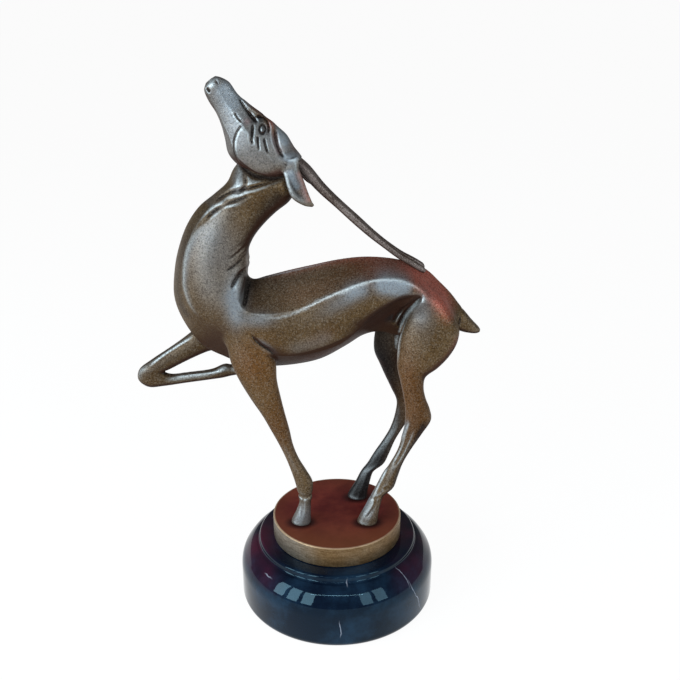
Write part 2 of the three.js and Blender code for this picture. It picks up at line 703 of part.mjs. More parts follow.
add('marble_base', marbleBase(), blackMarble(), statuette, marbleBottom);
const feltPad = new THREE.CylinderGeometry(feltRadius, feltRadius, feltThickness, turnedSides);
feltPad.rotateX(Math.PI / 2);
add('felt_pad', feltPad, felt(), statuette, feltThickness / 2);

const flatWasherHeight = marbleBottom + counterboreDepth - seatGap - flatWasherThickness;
const springWasherHeight = flatWasherHeight - seatGap - springWasherThickness;
const nutBottom = springWasherHeight - seatGap - nutHeight;
const flatWasher = ringPlate(flatWasherRadius, studRadius + seam, flatWasherThickness, turnedSides / 2);
add('flat_washer', flatWasher, steel(), statuette, flatWasherHeight);
add('spring_washer', springWasher(), steel(), statuette, springWasherHeight);
add('hex_nut', hexNut(), steel(), statuette, nutBottom);
const stud = bar(
  new THREE.Vector3(0, 0, nutBottom - studProjection),
  new THREE.Vector3(0, 0, plinthBottom + studEngagement),
  studRadius,
);
add('base_stud', stud, steel());

export default statuette;
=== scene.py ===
# %% [markdown]
# # A bronze antelope on a stepped marble base
# The statuette is a cast bronze animal, brazed together from several castings, chased, patinated
# brown and bolted through its round plinth to a turned base of black marble. The CAD frame holds
# the castings as plain facets. This lesson dresses them: one skin of voxels for the body, a finer
# one for the head, swept horns, turned plinth and marble, and a finish for every surface.
#
# ## The frame
# Everything stands in the frame's own metres, so nothing has to be fitted afterwards. It could be
# modelled free-hand and scaled, but then the hoofs would not stand where the screws come up.

# %% Load the frame
import math

import bpy
import numpy as np
import openvdb
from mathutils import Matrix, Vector


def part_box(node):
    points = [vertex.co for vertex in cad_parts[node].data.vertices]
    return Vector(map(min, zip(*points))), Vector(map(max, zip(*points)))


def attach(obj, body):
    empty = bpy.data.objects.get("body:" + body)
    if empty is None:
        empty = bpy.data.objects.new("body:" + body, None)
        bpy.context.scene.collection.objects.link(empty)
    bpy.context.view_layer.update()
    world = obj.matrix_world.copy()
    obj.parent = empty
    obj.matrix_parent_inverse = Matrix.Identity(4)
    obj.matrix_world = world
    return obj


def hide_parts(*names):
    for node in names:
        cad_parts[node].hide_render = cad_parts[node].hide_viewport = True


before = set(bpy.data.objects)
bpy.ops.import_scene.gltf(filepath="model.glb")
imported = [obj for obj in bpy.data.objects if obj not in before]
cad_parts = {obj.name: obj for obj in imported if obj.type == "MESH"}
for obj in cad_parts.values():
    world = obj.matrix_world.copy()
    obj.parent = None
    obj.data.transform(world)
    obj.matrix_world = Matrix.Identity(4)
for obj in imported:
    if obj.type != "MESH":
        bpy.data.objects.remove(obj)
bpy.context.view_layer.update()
MM = 0.001


# %% [markdown]
# ## The figure's sizes
# The drawn lines of the animal are given as shares of its length and height, so they are the same
# numbers in any size. The castings' places come from the frame: the hoofs stand where the CAD's
# hoofs stand, and the plane of symmetry lies halfway between the two hind hoofs.

# %% Sizes of the figure, in millimetres
sole_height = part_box("left_hindleg")[0][2] / MM
figure_height = 231.7
figure_length = 177.0
trunk_width = 34.0
head_width = 18.6
leg_spread = 25.5
hind_leg_width = 15.0
fore_leg_width = 12.8
horn_thickness = 3.2
horn_spacing = 3.6
horn_gap = 0.3
ear_thickness = 2.6
ear_spread = 20.0
tail_width = 9.0
left_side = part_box("left_hindleg")[0][1] / MM
right_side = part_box("right_hindleg")[1][1] / MM
middle = (left_side + right_side) / 2
print("soles at", round(sole_height, 2), "middle plane at", round(middle, 2))

# %% [markdown]
# ## The drawn lines of the trunk
# Trunk and neck are one flowing form on the statuette, cast in two. A sculptor in clay draws four
# lines along it first: the spine, the crest of the flank, the edge of the belly and the belly
# itself. A box model with a subdivision surface would round these lines away, so each row here
# keeps one post on every line. A third number is the share of half the trunk's width.

# %% Stations of the trunk: spine, flank crest, belly edge, belly
trunk_shares = [
    [(0.353, 0.517), (0.347, 0.502, 0.31), (0.342, 0.48, 0.29), (0.339, 0.47)],
    [(0.325, 0.546), (0.319, 0.511, 0.6), (0.305, 0.472, 0.59), (0.305, 0.448)],
    [(0.288, 0.575), (0.294, 0.536, 0.75), (0.266, 0.489, 0.74), (0.26, 0.439)],
    [(0.249, 0.602), (0.259, 0.562, 0.82), (0.232, 0.524, 0.76), (0.215, 0.442)],
    [(0.192, 0.619), (0.212, 0.592, 0.84), (0.192, 0.554, 0.76), (0.169, 0.446)],
    [(0.136, 0.627), (0.153, 0.601, 0.85), (0.136, 0.53, 0.76), (0.124, 0.456)],
    [(0.068, 0.629), (0.079, 0.594, 0.9), (0.073, 0.491, 0.76), (0.079, 0.45)],
    [(0.0, 0.623), (0.006, 0.572, 0.91), (0.011, 0.452, 0.78), (0.028, 0.425)],
    [(-0.068, 0.612), (-0.062, 0.546, 0.92), (-0.051, 0.434, 0.79), (-0.045, 0.393)],
    [(-0.136, 0.6), (-0.124, 0.529, 0.93), (-0.124, 0.424, 0.81), (-0.119, 0.379)],
    [(-0.198, 0.587), (-0.192, 0.524, 1.0), (-0.192, 0.43, 0.82), (-0.203, 0.374)],
    [(-0.232, 0.58), (-0.243, 0.53, 0.99), (-0.254, 0.446, 0.84), (-0.271, 0.38)],
    [(-0.246, 0.586), (-0.263, 0.546, 0.99), (-0.311, 0.474, 0.82), (-0.328, 0.397)],
    [(-0.25, 0.599), (-0.276, 0.57, 0.97), (-0.359, 0.502, 0.79), (-0.387, 0.423)],
    [(-0.249, 0.614), (-0.288, 0.591, 0.94), (-0.4, 0.539, 0.75), (-0.435, 0.476)],
    [(-0.25, 0.63), (-0.297, 0.611, 0.9), (-0.418, 0.58, 0.71), (-0.46, 0.534)],
    [(-0.243, 0.651), (-0.298, 0.637, 0.85), (-0.418, 0.627, 0.65), (-0.454, 0.599)],
    [(-0.226, 0.677), (-0.287, 0.667, 0.79), (-0.404, 0.666, 0.59), (-0.437, 0.651)],
    [(-0.197, 0.704), (-0.266, 0.697, 0.73), (-0.377, 0.707, 0.54), (-0.41, 0.7)],
    [(-0.161, 0.729), (-0.237, 0.728, 0.67), (-0.339, 0.742, 0.51), (-0.374, 0.738)],
    [(-0.128, 0.748), (-0.203, 0.755, 0.6), (-0.299, 0.77, 0.46), (-0.333, 0.763)],
    [(-0.11, 0.773), (-0.172, 0.781, 0.53), (-0.263, 0.795, 0.41), (-0.295, 0.789)],
    [(-0.107, 0.813), (-0.169, 0.812, 0.4), (-0.252, 0.814, 0.3), (-0.278, 0.815)],
    [(-0.107, 0.846), (-0.164, 0.846, 0.3), (-0.232, 0.844, 0.2), (-0.249, 0.842)],
]
trunk_fullness_shares = [0.02, 0.32, 0.06]
neck_fullness_shares = [0.5, 0.45, 0.06]
neck_start = 13
print(len(trunk_shares), "stations from the rump to the throat")

# %% [markdown]
# ## The head
# The wedge of the head is thrown back until it points up. It has five lines: the bridge of the
# nose, the brow's edge, the cheek, the jaw's edge and the chin. The rows run from the muzzle to
# the throat. It could be sculpted from a sphere, but the rows keep its length and tilt exact.

# %% Stations of the head: bridge, brow, cheek, jaw edge, chin
head_shares = [
    [(-0.313, 0.999), (-0.314, 0.998, 0.1), (-0.324, 0.994, 0.2), (-0.334, 0.988, 0.12), (-0.338, 0.985)],
    [(-0.301, 0.996), (-0.303, 0.996, 0.24), (-0.319, 0.986, 0.42), (-0.337, 0.975, 0.3), (-0.343, 0.972)],
    [(-0.279, 0.988), (-0.282, 0.986, 0.24), (-0.302, 0.972, 0.47), (-0.325, 0.958, 0.32), (-0.334, 0.952)],
    [(-0.257, 0.964), (-0.259, 0.962, 0.24), (-0.282, 0.947, 0.5), (-0.308, 0.933, 0.34), (-0.315, 0.928)],
    [(-0.229, 0.945), (-0.231, 0.943, 0.27), (-0.26, 0.925, 0.64), (-0.294, 0.908, 0.42), (-0.303, 0.904)],
    [(-0.192, 0.923), (-0.194, 0.921, 0.3), (-0.234, 0.9, 0.86), (-0.279, 0.883, 0.6), (-0.295, 0.876)],
    [(-0.16, 0.902), (-0.162, 0.9, 0.32), (-0.209, 0.875, 1.0), (-0.265, 0.855, 0.76), (-0.288, 0.847)],
    [(-0.132, 0.879), (-0.135, 0.876, 0.34), (-0.181, 0.852, 1.0), (-0.236, 0.831, 0.8), (-0.261, 0.822)],
    [(-0.109, 0.854), (-0.112, 0.852, 0.34), (-0.15, 0.832, 0.92), (-0.186, 0.808, 0.76), (-0.204, 0.799)],
    [(-0.092, 0.839), (-0.095, 0.837, 0.32), (-0.12, 0.822, 0.66), (-0.138, 0.805, 0.55), (-0.148, 0.798)],
]
head_fullness_shares = [0.1, 0.12, 0.12, 0.1]
print(len(head_shares), "stations from the muzzle to the throat")

# %% [markdown]
# ## The legs
# Three legs stand on the plinth and the right foreleg is raised and folded. A leg's outline is
# what the eye reads, so a row has a point on its front line and one on its rear line, then its
# distance from the middle plane and its half width. A bone-like skin modifier would be quicker,
# but gives round knees and hocks without the flat cannon bones.

# %% Stations of the legs: front, rear, distance from the middle, half width
hind_leg_shares = [
    [(0.243, 0.58), (0.294, 0.549), 0.63, 0.48],
    [(0.228, 0.558), (0.328, 0.511), 0.71, 0.83],
    [(0.212, 0.528), (0.345, 0.48), 0.74, 0.96],
    [(0.188, 0.487), (0.34, 0.447), 0.75, 1.01],
    [(0.175, 0.454), (0.321, 0.419), 0.77, 0.99],
    [(0.171, 0.42), (0.29, 0.392), 0.8, 0.88],
    [(0.172, 0.392), (0.255, 0.37), 0.83, 0.75],
    [(0.181, 0.362), (0.25, 0.347), 0.86, 0.64],
    [(0.19, 0.331), (0.256, 0.321), 0.89, 0.57],
    [(0.197, 0.295), (0.27, 0.293), 0.93, 0.52],
    [(0.198, 0.265), (0.275, 0.269), 0.95, 0.49],
    [(0.194, 0.234), (0.25, 0.234), 0.96, 0.43],
    [(0.178, 0.191), (0.218, 0.193), 0.98, 0.37],
    [(0.158, 0.159), (0.196, 0.159), 0.99, 0.36],
    [(0.135, 0.126), (0.181, 0.122), 1.0, 0.4],
    [(0.116, 0.094), (0.17, 0.096), 1.0, 0.43],
    [(0.102, 0.074), (0.142, 0.074), 1.0, 0.4],
    [(0.084, 0.044), (0.131, 0.046), 1.0, 0.45],
    [(0.062, 0.008), (0.124, 0.008), 1.0, 0.56],
    [(0.062, 0.0), (0.123, 0.0), 1.0, 0.56],
]
stride_shares = [
    0.03, 0.04, 0.05, 0.058, 0.06, 0.062, 0.061, 0.054, 0.046, 0.032,
    0.017, 0.015, 0.014, 0.015, 0.018, 0.022, 0.026, 0.026, 0.028, 0.028,
]
print(len(hind_leg_shares), "stations from the hip to the hoof")

# %% Stations of the forelegs
standing_foreleg_shares = [
    [(-0.308, 0.532), (-0.257, 0.524), 0.71, 0.72],
    [(-0.316, 0.485), (-0.234, 0.48), 0.75, 0.91],
    [(-0.31, 0.439), (-0.194, 0.439), 0.8, 1.0],
    [(-0.3, 0.4), (-0.173, 0.401), 0.85, 0.97],
    [(-0.28, 0.363), (-0.171, 0.364), 0.88, 0.87],
    [(-0.248, 0.317), (-0.161, 0.321), 0.91, 0.75],
    [(-0.217, 0.278), (-0.15, 0.282), 0.94, 0.62],
    [(-0.192, 0.24), (-0.138, 0.243), 0.96, 0.53],
    [(-0.169, 0.204), (-0.128, 0.204), 0.98, 0.45],
    [(-0.15, 0.169), (-0.112, 0.17), 0.99, 0.44],
    [(-0.136, 0.137), (-0.09, 0.139), 1.0, 0.47],
    [(-0.126, 0.11), (-0.072, 0.11), 1.0, 0.5],
    [(-0.118, 0.083), (-0.0735, 0.083), 1.0, 0.46],
    [(-0.1115, 0.062), (-0.0785, 0.062), 1.0, 0.44],
    [(-0.122, 0.036), (-0.079, 0.034), 1.0, 0.55],
    [(-0.138, 0.008), (-0.079, 0.008), 1.0, 0.66],
    [(-0.139, 0.0), (-0.079, 0.0), 1.0, 0.66],
]
raised_foreleg_shares = [
    [(-0.305, 0.528), (-0.249, 0.463), 0.5, 0.66],
    [(-0.359, 0.502), (-0.297, 0.435), 0.53, 0.78],
    [(-0.404, 0.461), (-0.336, 0.408), 0.55, 0.75],
    [(-0.444, 0.434), (-0.379, 0.398), 0.56, 0.67],
    [(-0.498, 0.403), (-0.438, 0.377), 0.57, 0.61],
    [(-0.551, 0.376), (-0.497, 0.353), 0.57, 0.58],
    [(-0.589, 0.352), (-0.512, 0.348), 0.57, 0.59],
    [(-0.594, 0.327), (-0.51, 0.344), 0.57, 0.59],
    [(-0.567, 0.309), (-0.498, 0.341), 0.57, 0.56],
    [(-0.52, 0.311), (-0.478, 0.34), 0.57, 0.48],
    [(-0.452, 0.319), (-0.436, 0.344), 0.57, 0.42],
    [(-0.381, 0.327), (-0.374, 0.352), 0.57, 0.42],
    [(-0.339, 0.332), (-0.332, 0.366), 0.57, 0.48],
    [(-0.314, 0.337), (-0.308, 0.364), 0.57, 0.44],
    [(-0.26, 0.344), (-0.246, 0.378), 0.57, 0.59],
]
leg_fullness_shares = [0.7, 0.9]
round_fullness_shares = [1.0, 1.0]
print(len(standing_foreleg_shares), "and", len(raised_foreleg_shares), "stations down the forelegs")

# %% [markdown]
# ## Horns, ears and tail
# The two horns are long tapered rods, side by side, that rest on the rump and part at their tips.
# A row of theirs has a place, a share of the full thickness and a share of the spacing. Ears and
# tail are small leaf shapes, lofted like the legs.

# %% Horns, ears and tail
horn_shares = [
    (-0.134, 0.855, 0.7, 1.0), (-0.082, 0.813, 1.65, 1.0), (-0.04, 0.776, 1.4, 1.0),
    (0.008, 0.741, 1.22, 1.0), (0.052, 0.71, 1.25, 1.0), (0.097, 0.679, 1.12, 1.0),
    (0.138, 0.654, 1.0, 1.1), (0.176, 0.633, 1.0, 1.4), (0.214, 0.616, 1.05, 1.75),
    (0.237, 0.605, 1.0, 1.9), (0.245, 0.600, 0.55, 1.95),
]
ear_root = (-0.125, 0.837)
far_ear_turn = 22.0
far_ear_narrowing = 0.6
ear_shares = [
    [(-0.152, 0.832), (-0.098, 0.846), 0.6, 0.9],
    [(-0.139, 0.81), (-0.098, 0.824), 0.76, 1.0],
    [(-0.131, 0.786), (-0.086, 0.8), 0.87, 1.0],
    [(-0.118, 0.764), (-0.076, 0.779), 0.95, 0.8],
    [(-0.086, 0.749), (-0.064, 0.757), 1.0, 0.5],
    [(-0.065, 0.746), (-0.058, 0.75), 1.0, 0.3],
]
tail_shares = [
    [(0.333, 0.528), (0.316, 0.467), 1.0],
    [(0.362, 0.508), (0.342, 0.463), 0.9],
    [(0.385, 0.487), (0.367, 0.457), 0.72],
    [(0.406, 0.47), (0.397, 0.454), 0.5],
    [(0.413, 0.463), (0.41, 0.456), 0.28],
]
print(len(horn_shares), "stations along each horn")

# %% [markdown]
# ## Lofts
# A casting is drawn the way a clay modeller sees it: a few character lines run along it, and the
# surface is stretched between them. Blender could loft curves with modifiers, but plain arrays
# are easier to hand on to a voxel grid, which joins the pieces next.

# %% Places and smooth lines
def place(share, across=0.0):
    """A point of the figure, in millimetres, from shares of its length and height."""
    return (share[0] * figure_length, middle + across, sole_height + share[1] * figure_height)


def blend(a, b, start, end, t):
    """The point between a and b that belongs to the time t."""
    return (a * (end - t) + b * (t - start)) / (end - start)


def rail(points, steps):
    """A smooth line through the points (a centripetal Catmull-Rom spline)."""
    points = np.asarray(points, float)
    p = np.vstack([2 * points[0] - points[1], points, 2 * points[-1] - points[-2]])
    gaps = np.sqrt(np.linalg.norm(np.diff(p, axis=0), axis=1)) + 1e-6
    time = np.concatenate([[0], np.cumsum(gaps)])
    line = []
    for k in range(1, len(p) - 2):
        t0, t1, t2, t3 = time[k - 1:k + 3]
        for t in np.linspace(t1, t2, steps, endpoint=False):
            a = blend(p[k - 1], p[k], t0, t1, t)
            b = blend(p[k], p[k + 1], t1, t2, t)
            c = blend(p[k + 1], p[k + 2], t2, t3, t)
            line.append(blend(blend(a, b, t0, t2, t), blend(b, c, t1, t3, t), t1, t2, t))
    return np.array(line + [points[-1]])


print("a smooth line through 3 points:", len(rail([(0, 0, 0), (1, 0, 1), (2, 0, 0)], 4)), "points")

# %% A loft through stations of posts
def loft(stations, fullness_shares, along=6, across=10):
    """Rings of points round a casting. Fullness 0 is a flat facet and 1 an oval quarter."""
    stations = np.asarray(stations, float)
    fullness_rows = np.broadcast_to(fullness_shares, (len(stations), stations.shape[1] - 1))
    fullness = np.stack([rail(np.outer(column, (1, 0, 0)), along)[:, 0] for column in fullness_rows.T])
    posts = np.stack([rail(stations[:, k], along) for k in range(stations.shape[1])], axis=1)
    centre = (posts[:, 0] + posts[:, -1]) / 2
    half = []
    for k in range(len(fullness)):
        a, b = posts[:, k], posts[:, k + 1]
        control = (a + b) / 2 + ((a + b) / 2 - centre) * fullness[k][:, None]
        for t in np.arange(across) / across:
            half.append(a * (1 - t) ** 2 + control * 2 * t * (1 - t) + b * t ** 2)
    half.append(posts[:, -1])
    half = np.stack(half, axis=1)
    mirrored = half[:, -2:0:-1].copy()
    mirrored[:, :, 1] = 2 * centre[:, None, 1] - mirrored[:, :, 1]
    return np.concatenate([half, mirrored], axis=1)


# %% A closed skin over the rings
def outward(points, faces):
    """The faces, turned round if the closed mesh is inside out."""
    corners = points[faces]
    volume = np.einsum("ij,ij->", corners[:, 0], np.cross(corners[:, 1], corners[:, 2]))
    return faces if volume > 0 else faces[:, ::-1]


def closed_skin(rings):
    """Points and triangles of a closed surface through the rings, with a fan over each end."""
    count, size = rings.shape[:2]
    points = np.vstack([rings.reshape(-1, 3), rings[0].mean(axis=0), rings[-1].mean(axis=0)])
    i, j = np.meshgrid(np.arange(count - 1), np.arange(size), indexing="ij")
    after = (j + 1) % size
    a, b, c, d = i * size + j, i * size + after, (i + 1) * size + after, (i + 1) * size + j
    walls = np.concatenate([np.stack(corners, -1).reshape(-1, 3) for corners in ((a, b, c), (a, c, d))])
    edge = np.arange(size)
    first = np.stack([np.full(size, count * size), (edge + 1) % size, edge], -1)
    start = (count - 1) * size
    last = np.stack([np.full(size, count * size + 1), start + edge, start + (edge + 1) % size], -1)
    return points, outward(points, np.concatenate([walls, first, last]))


cube = np.array([[(x, y, z) for x, y in ((0, 0), (1, 0), (1, 1), (0, 1))] for z in (0, 1)], float)
print("a skin over two rings of 4 points:", len(closed_skin(cube)[1]), "triangles")

# %% [markdown]
# ## Castings
# The foundry casts the animal in twelve pieces and brazes them. Each function turns one table into
# stations of posts, such as the trunk's four or a leg's front, side and rear, and lofts them. The
# far ear hangs higher than the near one and is seen more edge on.

# %% The castings of the figure
def trunk():
    half = trunk_width / 2
    stations = [
        [place(spine), place(crest, -crest[2] * half), place(edge, -edge[2] * half), place(belly)]
        for spine, crest, edge, belly in trunk_shares
    ]
    neck_rows = len(stations) - neck_start
    return loft(stations, [trunk_fullness_shares] * neck_start + [neck_fullness_shares] * neck_rows)


def head():
    half = head_width / 2
    stations = [
        [place(row[0])] + [place(post, -post[2] * half) for post in row[1:4]] + [place(row[4])]
        for row in head_shares
    ]
    return loft(stations, head_fullness_shares, along=10)


print("trunk loft:", trunk().shape[0], "rings of", trunk().shape[1], "points")

# %% Legs, ears and tail as lofts
def leg(rows, side, width, ahead_shares=None):
    stations = []
    for i, (front, rear, across_share, width_share) in enumerate(rows):
        across = side * across_share * leg_spread / 2
        ahead = ahead_shares[i] if ahead_shares else 0
        front, rear = [np.array(place((post[0] - ahead, post[1]), across)) for post in (front, rear)]
        widest = (front + rear) / 2 - [0, width_share * width / 2, 0]
        stations.append([front, widest, rear])
    return loft(stations, leg_fullness_shares)


def turned_up(point, angle):
    """The point, swung up about the root of the ears by that angle in degrees."""
    root = np.array(place(ear_root))
    x, z = point[0] - root[0], point[2] - root[2]
    c, s = math.cos(math.radians(angle)), math.sin(math.radians(angle))
    return np.array([root[0] + c * x - s * z, point[1], root[2] + s * x + c * z])


def ear(side):
    stations = []
    for front, rear, across_share, thickness_share in ear_shares:
        across = side * across_share * ear_spread / 2
        turn, width = (far_ear_turn, far_ear_narrowing) if side > 0 else (0, 1)
        front, rear = (turned_up(place(post, across), turn) for post in (front, rear))
        halfway = (front + rear) / 2
        widest = halfway - [0, thickness_share * ear_thickness / 2, 0]
        front, rear = (halfway + (edge - halfway) * width for edge in (front, rear))
        stations.append([front, widest, rear])
    return loft(stations, round_fullness_shares)


def tail():
    stations = []
    for upper, lower, width_share in tail_shares:
        upper, lower = np.array(place(upper)), np.array(place(lower))
        stations.append([upper, (upper + lower) / 2 - [0, width_share * tail_width / 2, 0], lower])
    return loft(stations, round_fullness_shares)


print("leg loft:", leg(hind_leg_shares, -1, hind_leg_width).shape[0], "rings")

# %% [markdown]
# ## A block of space cut into voxels
# Castings that flow into each other are awkward to join edge by edge. Here each loft becomes a
# field of distances to its surface, on a grid of small cubes. Two fields join with a soft fillet
# by a smooth minimum, the side view is embossed by adding to the field, and the zero level goes
# back to a mesh.

# %% Fields of distance
class Block:
    """A box of space cut into cubes. All its fields are distances in millimetres."""

    def __init__(self, low, high, step, reach=4.0):
        self.step = step
        self.reach = reach
        self.start = np.floor(np.array(low) / step).astype(int)
        self.count = np.ceil(np.array(high) / step).astype(int) - self.start
        self.axes = [(self.start[k] + np.arange(self.count[k])) * step for k in range(3)]

    def corner(self):
        return tuple(int(v) for v in self.start)

    def distance(self, rings):
        """The field of distances to a loft's surface."""
        points, faces = closed_skin(rings)
        grid = openvdb.FloatGrid.createLevelSetFromPolygons(
            points.astype(np.float32),
            triangles=faces.astype(np.uint32),
            transform=openvdb.createLinearTransform(voxelSize=self.step),
            halfWidth=math.ceil(self.reach / self.step),
        )
        field = np.empty(tuple(self.count), np.float32)
        grid.copyToArray(field, ijk=self.corner())
        return field

    def surface(self, field):
        """Points and four-sided faces of the field's zero level."""
        grid = openvdb.FloatGrid(background=self.reach)
        grid.copyFromArray(np.ascontiguousarray(field, np.float32), ijk=self.corner())
        grid.transform = openvdb.createLinearTransform(voxelSize=self.step)
        points, quads = grid.convertToQuads(isovalue=0.0)
        return np.asarray(points, float), np.asarray(quads, int)

    def sample(self, field, points):
        """The field's value at each point, between the eight voxels round it."""
        at = points / self.step - self.start
        cell = np.clip(np.floor(at).astype(int), 0, self.count - 2)
        part = at - cell
        value = 0
        for corner in np.ndindex(2, 2, 2):
            weight = np.prod(np.where(corner, part, 1 - part), axis=1)
            i, j, k = (cell + corner).T
            value = value + weight * field[i, j, k]
        return value


# %% Joining and softening fields
def join(a, b, fillet):
    """The union of two fields, with a soft fillet where they meet."""
    near = np.clip(fillet - np.abs(a - b), 0, None)
    return np.minimum(a, b) - near * near / (4 * fillet)


def soften(field, rounds=1):
    """A light blur that takes the steps of the grid away."""
    for _ in range(rounds):
        for axis in range(3):
            field = (np.roll(field, 1, axis) + 2 * field + np.roll(field, -1, axis)) / 4
    return field


print("where both fields are 0, a fillet of 2 mm adds", round(-float(join(0.0, 0.0, 2.0)), 2), "mm")

# %% [markdown]
# ## Drawing on the side view
# The animal's creases, folds and eye are drawn lines, so they are given as lines in the side
# view, in millimetres: along the figure's length, and above the soles. A groove adds to the field
# along its line, which sinks the skin there. A fold is raised on one side of its line only, and
# fades away from it. After its path, a groove has a width and a depth, and a fold a height and the
# distance over which it fades. An oval has a place, two half widths and an amount.

# %% The nearest point of a drawn line
drawing_base = sole_height - 0.5
far_away = 1e9


class Line:
    """A line in the side view: for each point of the grid its distance, side and share of length."""

    def __init__(self, block, path, reach=12.0):
        line = rail([(x, 0, drawing_base + z) for x, z in path], 6)[:, [0, 2]]
        low, high = line.min(axis=0) - reach, line.max(axis=0) + reach
        self.window = tuple(
            slice(*np.clip(np.searchsorted(block.axes[axis], (low[k], high[k])), 0, block.count[axis]))
            for k, axis in ((0, 0), (1, 2))
        )
        near = [block.axes[axis][part] for axis, part in zip((0, 2), self.window)]
        xx, zz = np.meshgrid(*near, indexing="ij")
        steps = np.diff(line, axis=0)
        lengths = np.linalg.norm(steps, axis=1)
        run = np.concatenate([[0], np.cumsum(lengths)]) / lengths.sum()
        self.distance = np.full(xx.shape, far_away)
        self.side, self.share = np.zeros(xx.shape), np.zeros(xx.shape)
        for (ax, az), (dx, dz), length, start, end in zip(line, steps, lengths, run, run[1:]):
            along = np.clip(((xx - ax) * dx + (zz - az) * dz) / length ** 2, 0, 1)
            off_x, off_z = xx - ax - along * dx, zz - az - along * dz
            distance = np.hypot(off_x, off_z)
            closer = distance < self.distance
            self.distance = np.where(closer, distance, self.distance)
            self.side = np.where(closer, np.sign(dx * off_z - dz * off_x), self.side)
            self.share = np.where(closer, start + along * (end - start), self.share)

    def fade(self, ends):
        """0 at the ends of the line, rising to 1 over that share of its length."""
        return np.clip(np.minimum(self.share, 1 - self.share) / ends, 0, 1) if ends else 1.0


# %% Grooves and folds
class Relief:
    """Drawn lines gathered into one pattern for the left side, the right side or both."""

    def __init__(self, block):
        self.block = block
        self.flat = {side: np.zeros(block.count[[0, 2]], np.float32) for side in (-1, 0, 1)}

    def groove(self, path, width, depth, side=0, ends=0.3):
        line = Line(self.block, path)
        across = np.exp(-((line.distance / width) ** 2))
        self.flat[side][line.window] += depth * across * line.fade(ends)

    def fold(self, path, height, spread, side=0, ends=0.2, edge=0.7):
        """Raises what lies left of the path's direction, by that height at the line."""
        line = Line(self.block, path, reach=3 * spread)
        inside = np.clip(0.5 + line.side * line.distance / edge, 0, 1)
        away = np.where(line.side > 0, line.distance / spread, 0)
        self.flat[side][line.window] -= height * inside * np.exp(-(away ** 2)) * line.fade(ends)

    def spot(self, x, z, wide, high, amount, side=0, turn=0.0):
        """Adds a soft oval, turned up by that angle in degrees."""
        xx, zz = self.block.axes[0][:, None] - x, self.block.axes[2][None, :] - drawing_base - z
        c, s = math.cos(math.radians(turn)), math.sin(math.radians(turn))
        across, along = (c * xx + s * zz) / wide, (c * zz - s * xx) / high
        self.flat[side] += (amount * np.exp(-(across ** 2 + along ** 2))).astype(np.float32)

    def swell(self, x, z, wide, high, height, side=0):
        """Raises a soft oval, or hollows it where height is negative."""
        self.spot(x, z, wide, high, -height, side)

    def read(self, points):
        """The pattern's amount at each point, from 0 to 1."""
        cells = np.round(points / self.block.step - self.block.start).astype(int)
        i, _, k = np.clip(cells, 0, self.block.count - 1).T
        own_side = np.where(points[:, 1] < middle, self.flat[-1][i, k], self.flat[1][i, k])
        return np.clip(self.flat[0][i, k] + own_side, 0, 1)

    def report(self, what):
        """Prints how far the pattern goes down and up by now."""
        flats = list(self.flat.values())
        print(what, "drawn: from", round(float(np.min(flats)), 1), "to", round(float(np.max(flats)), 1))

    def apply(self, field, clear=1.0):
        """The field with the pattern added, but not within the clear width beside the middle plane."""
        across = self.block.axes[1] - middle
        for side, flat in self.flat.items():
            reach = np.clip((abs(across) if side == 0 else across * side) - clear, 0, 2) / 2
            field = field + flat[:, None, :] * reach[None, :, None].astype(np.float32)
        return field


# %% [markdown]
# ## From a field to an object
# The mesh also carries numbers for its points: how far it stands out as a crest, where handling
# has rubbed the patina bright and the finish also paints a highlight, and how deep it lies in a
# hollow, where the patina stays dark.
# Both come from the curvature of the field, softened over a millimetre and a half. A smooth skin
# has far more triangles than it needs, so a Decimate modifier collapses the least needed edges.

# %% Objects
def new_object(name, points, faces):
    """A smooth mesh object at the origin, from points in millimetres."""
    mesh = bpy.data.meshes.new(name)
    mesh.from_pydata((np.asarray(points) * MM).tolist(), [], np.asarray(faces).tolist())
    mesh.update()
    mesh.shade_smooth()
    obj = bpy.data.objects.new(name, mesh)
    bpy.context.scene.collection.objects.link(obj)
    return obj


def points_of(obj):
    """The mesh's points in millimetres."""
    flat = np.empty(len(obj.data.vertices) * 3, np.float32)
    obj.data.vertices.foreach_get("co", flat)
    return flat.reshape(-1, 3) / MM


def write_attribute(obj, name, values):
    attribute = obj.data.attributes.new(name, "FLOAT", "POINT")
    attribute.data.foreach_set("value", np.asarray(values, np.float32))


# %% Where the surface curves
def bend(block, field, rounds):
    """How strongly the surface curves: above 0 on a crest and below 0 in a hollow."""
    wide = soften(field, rounds)
    total = sum(np.roll(wide, 1, axis) + np.roll(wide, -1, axis) for axis in range(3)) - 6 * wide
    return total / block.step ** 2


# %% A skin from a field
most_triangles = 194000
curve_reach = 1.5


def plain_mesh(obj):
    """Puts what the object's modifiers made into its mesh, and takes the modifiers away."""
    graph = bpy.context.evaluated_depsgraph_get()
    made = bpy.data.meshes.new_from_object(obj.evaluated_get(graph))
    obj.modifiers.clear()
    obj.data = made


def skin_object(name, block, field):
    """The zero level of the field as a mesh, with its least needed edges collapsed."""
    points, quads = block.surface(field)
    obj = new_object(name, points, outward(points, quads))
    if 2 * len(quads) > most_triangles:
        thin = obj.modifiers.new("thin", "DECIMATE")
        thin.ratio = most_triangles / (2 * len(quads))
        plain_mesh(obj)
    sharp = block.sample(bend(block, field, round(curve_reach / block.step)), points_of(obj))
    write_attribute(obj, "crest", np.clip(sharp, 0, 1))
    write_attribute(obj, "hollow", np.clip(-sharp, 0, 1))
    triangles = sum(len(face.vertices) - 2 for face in obj.data.polygons)
    print(name, "from", 2 * len(quads), "down to", triangles, "triangles")
    return obj


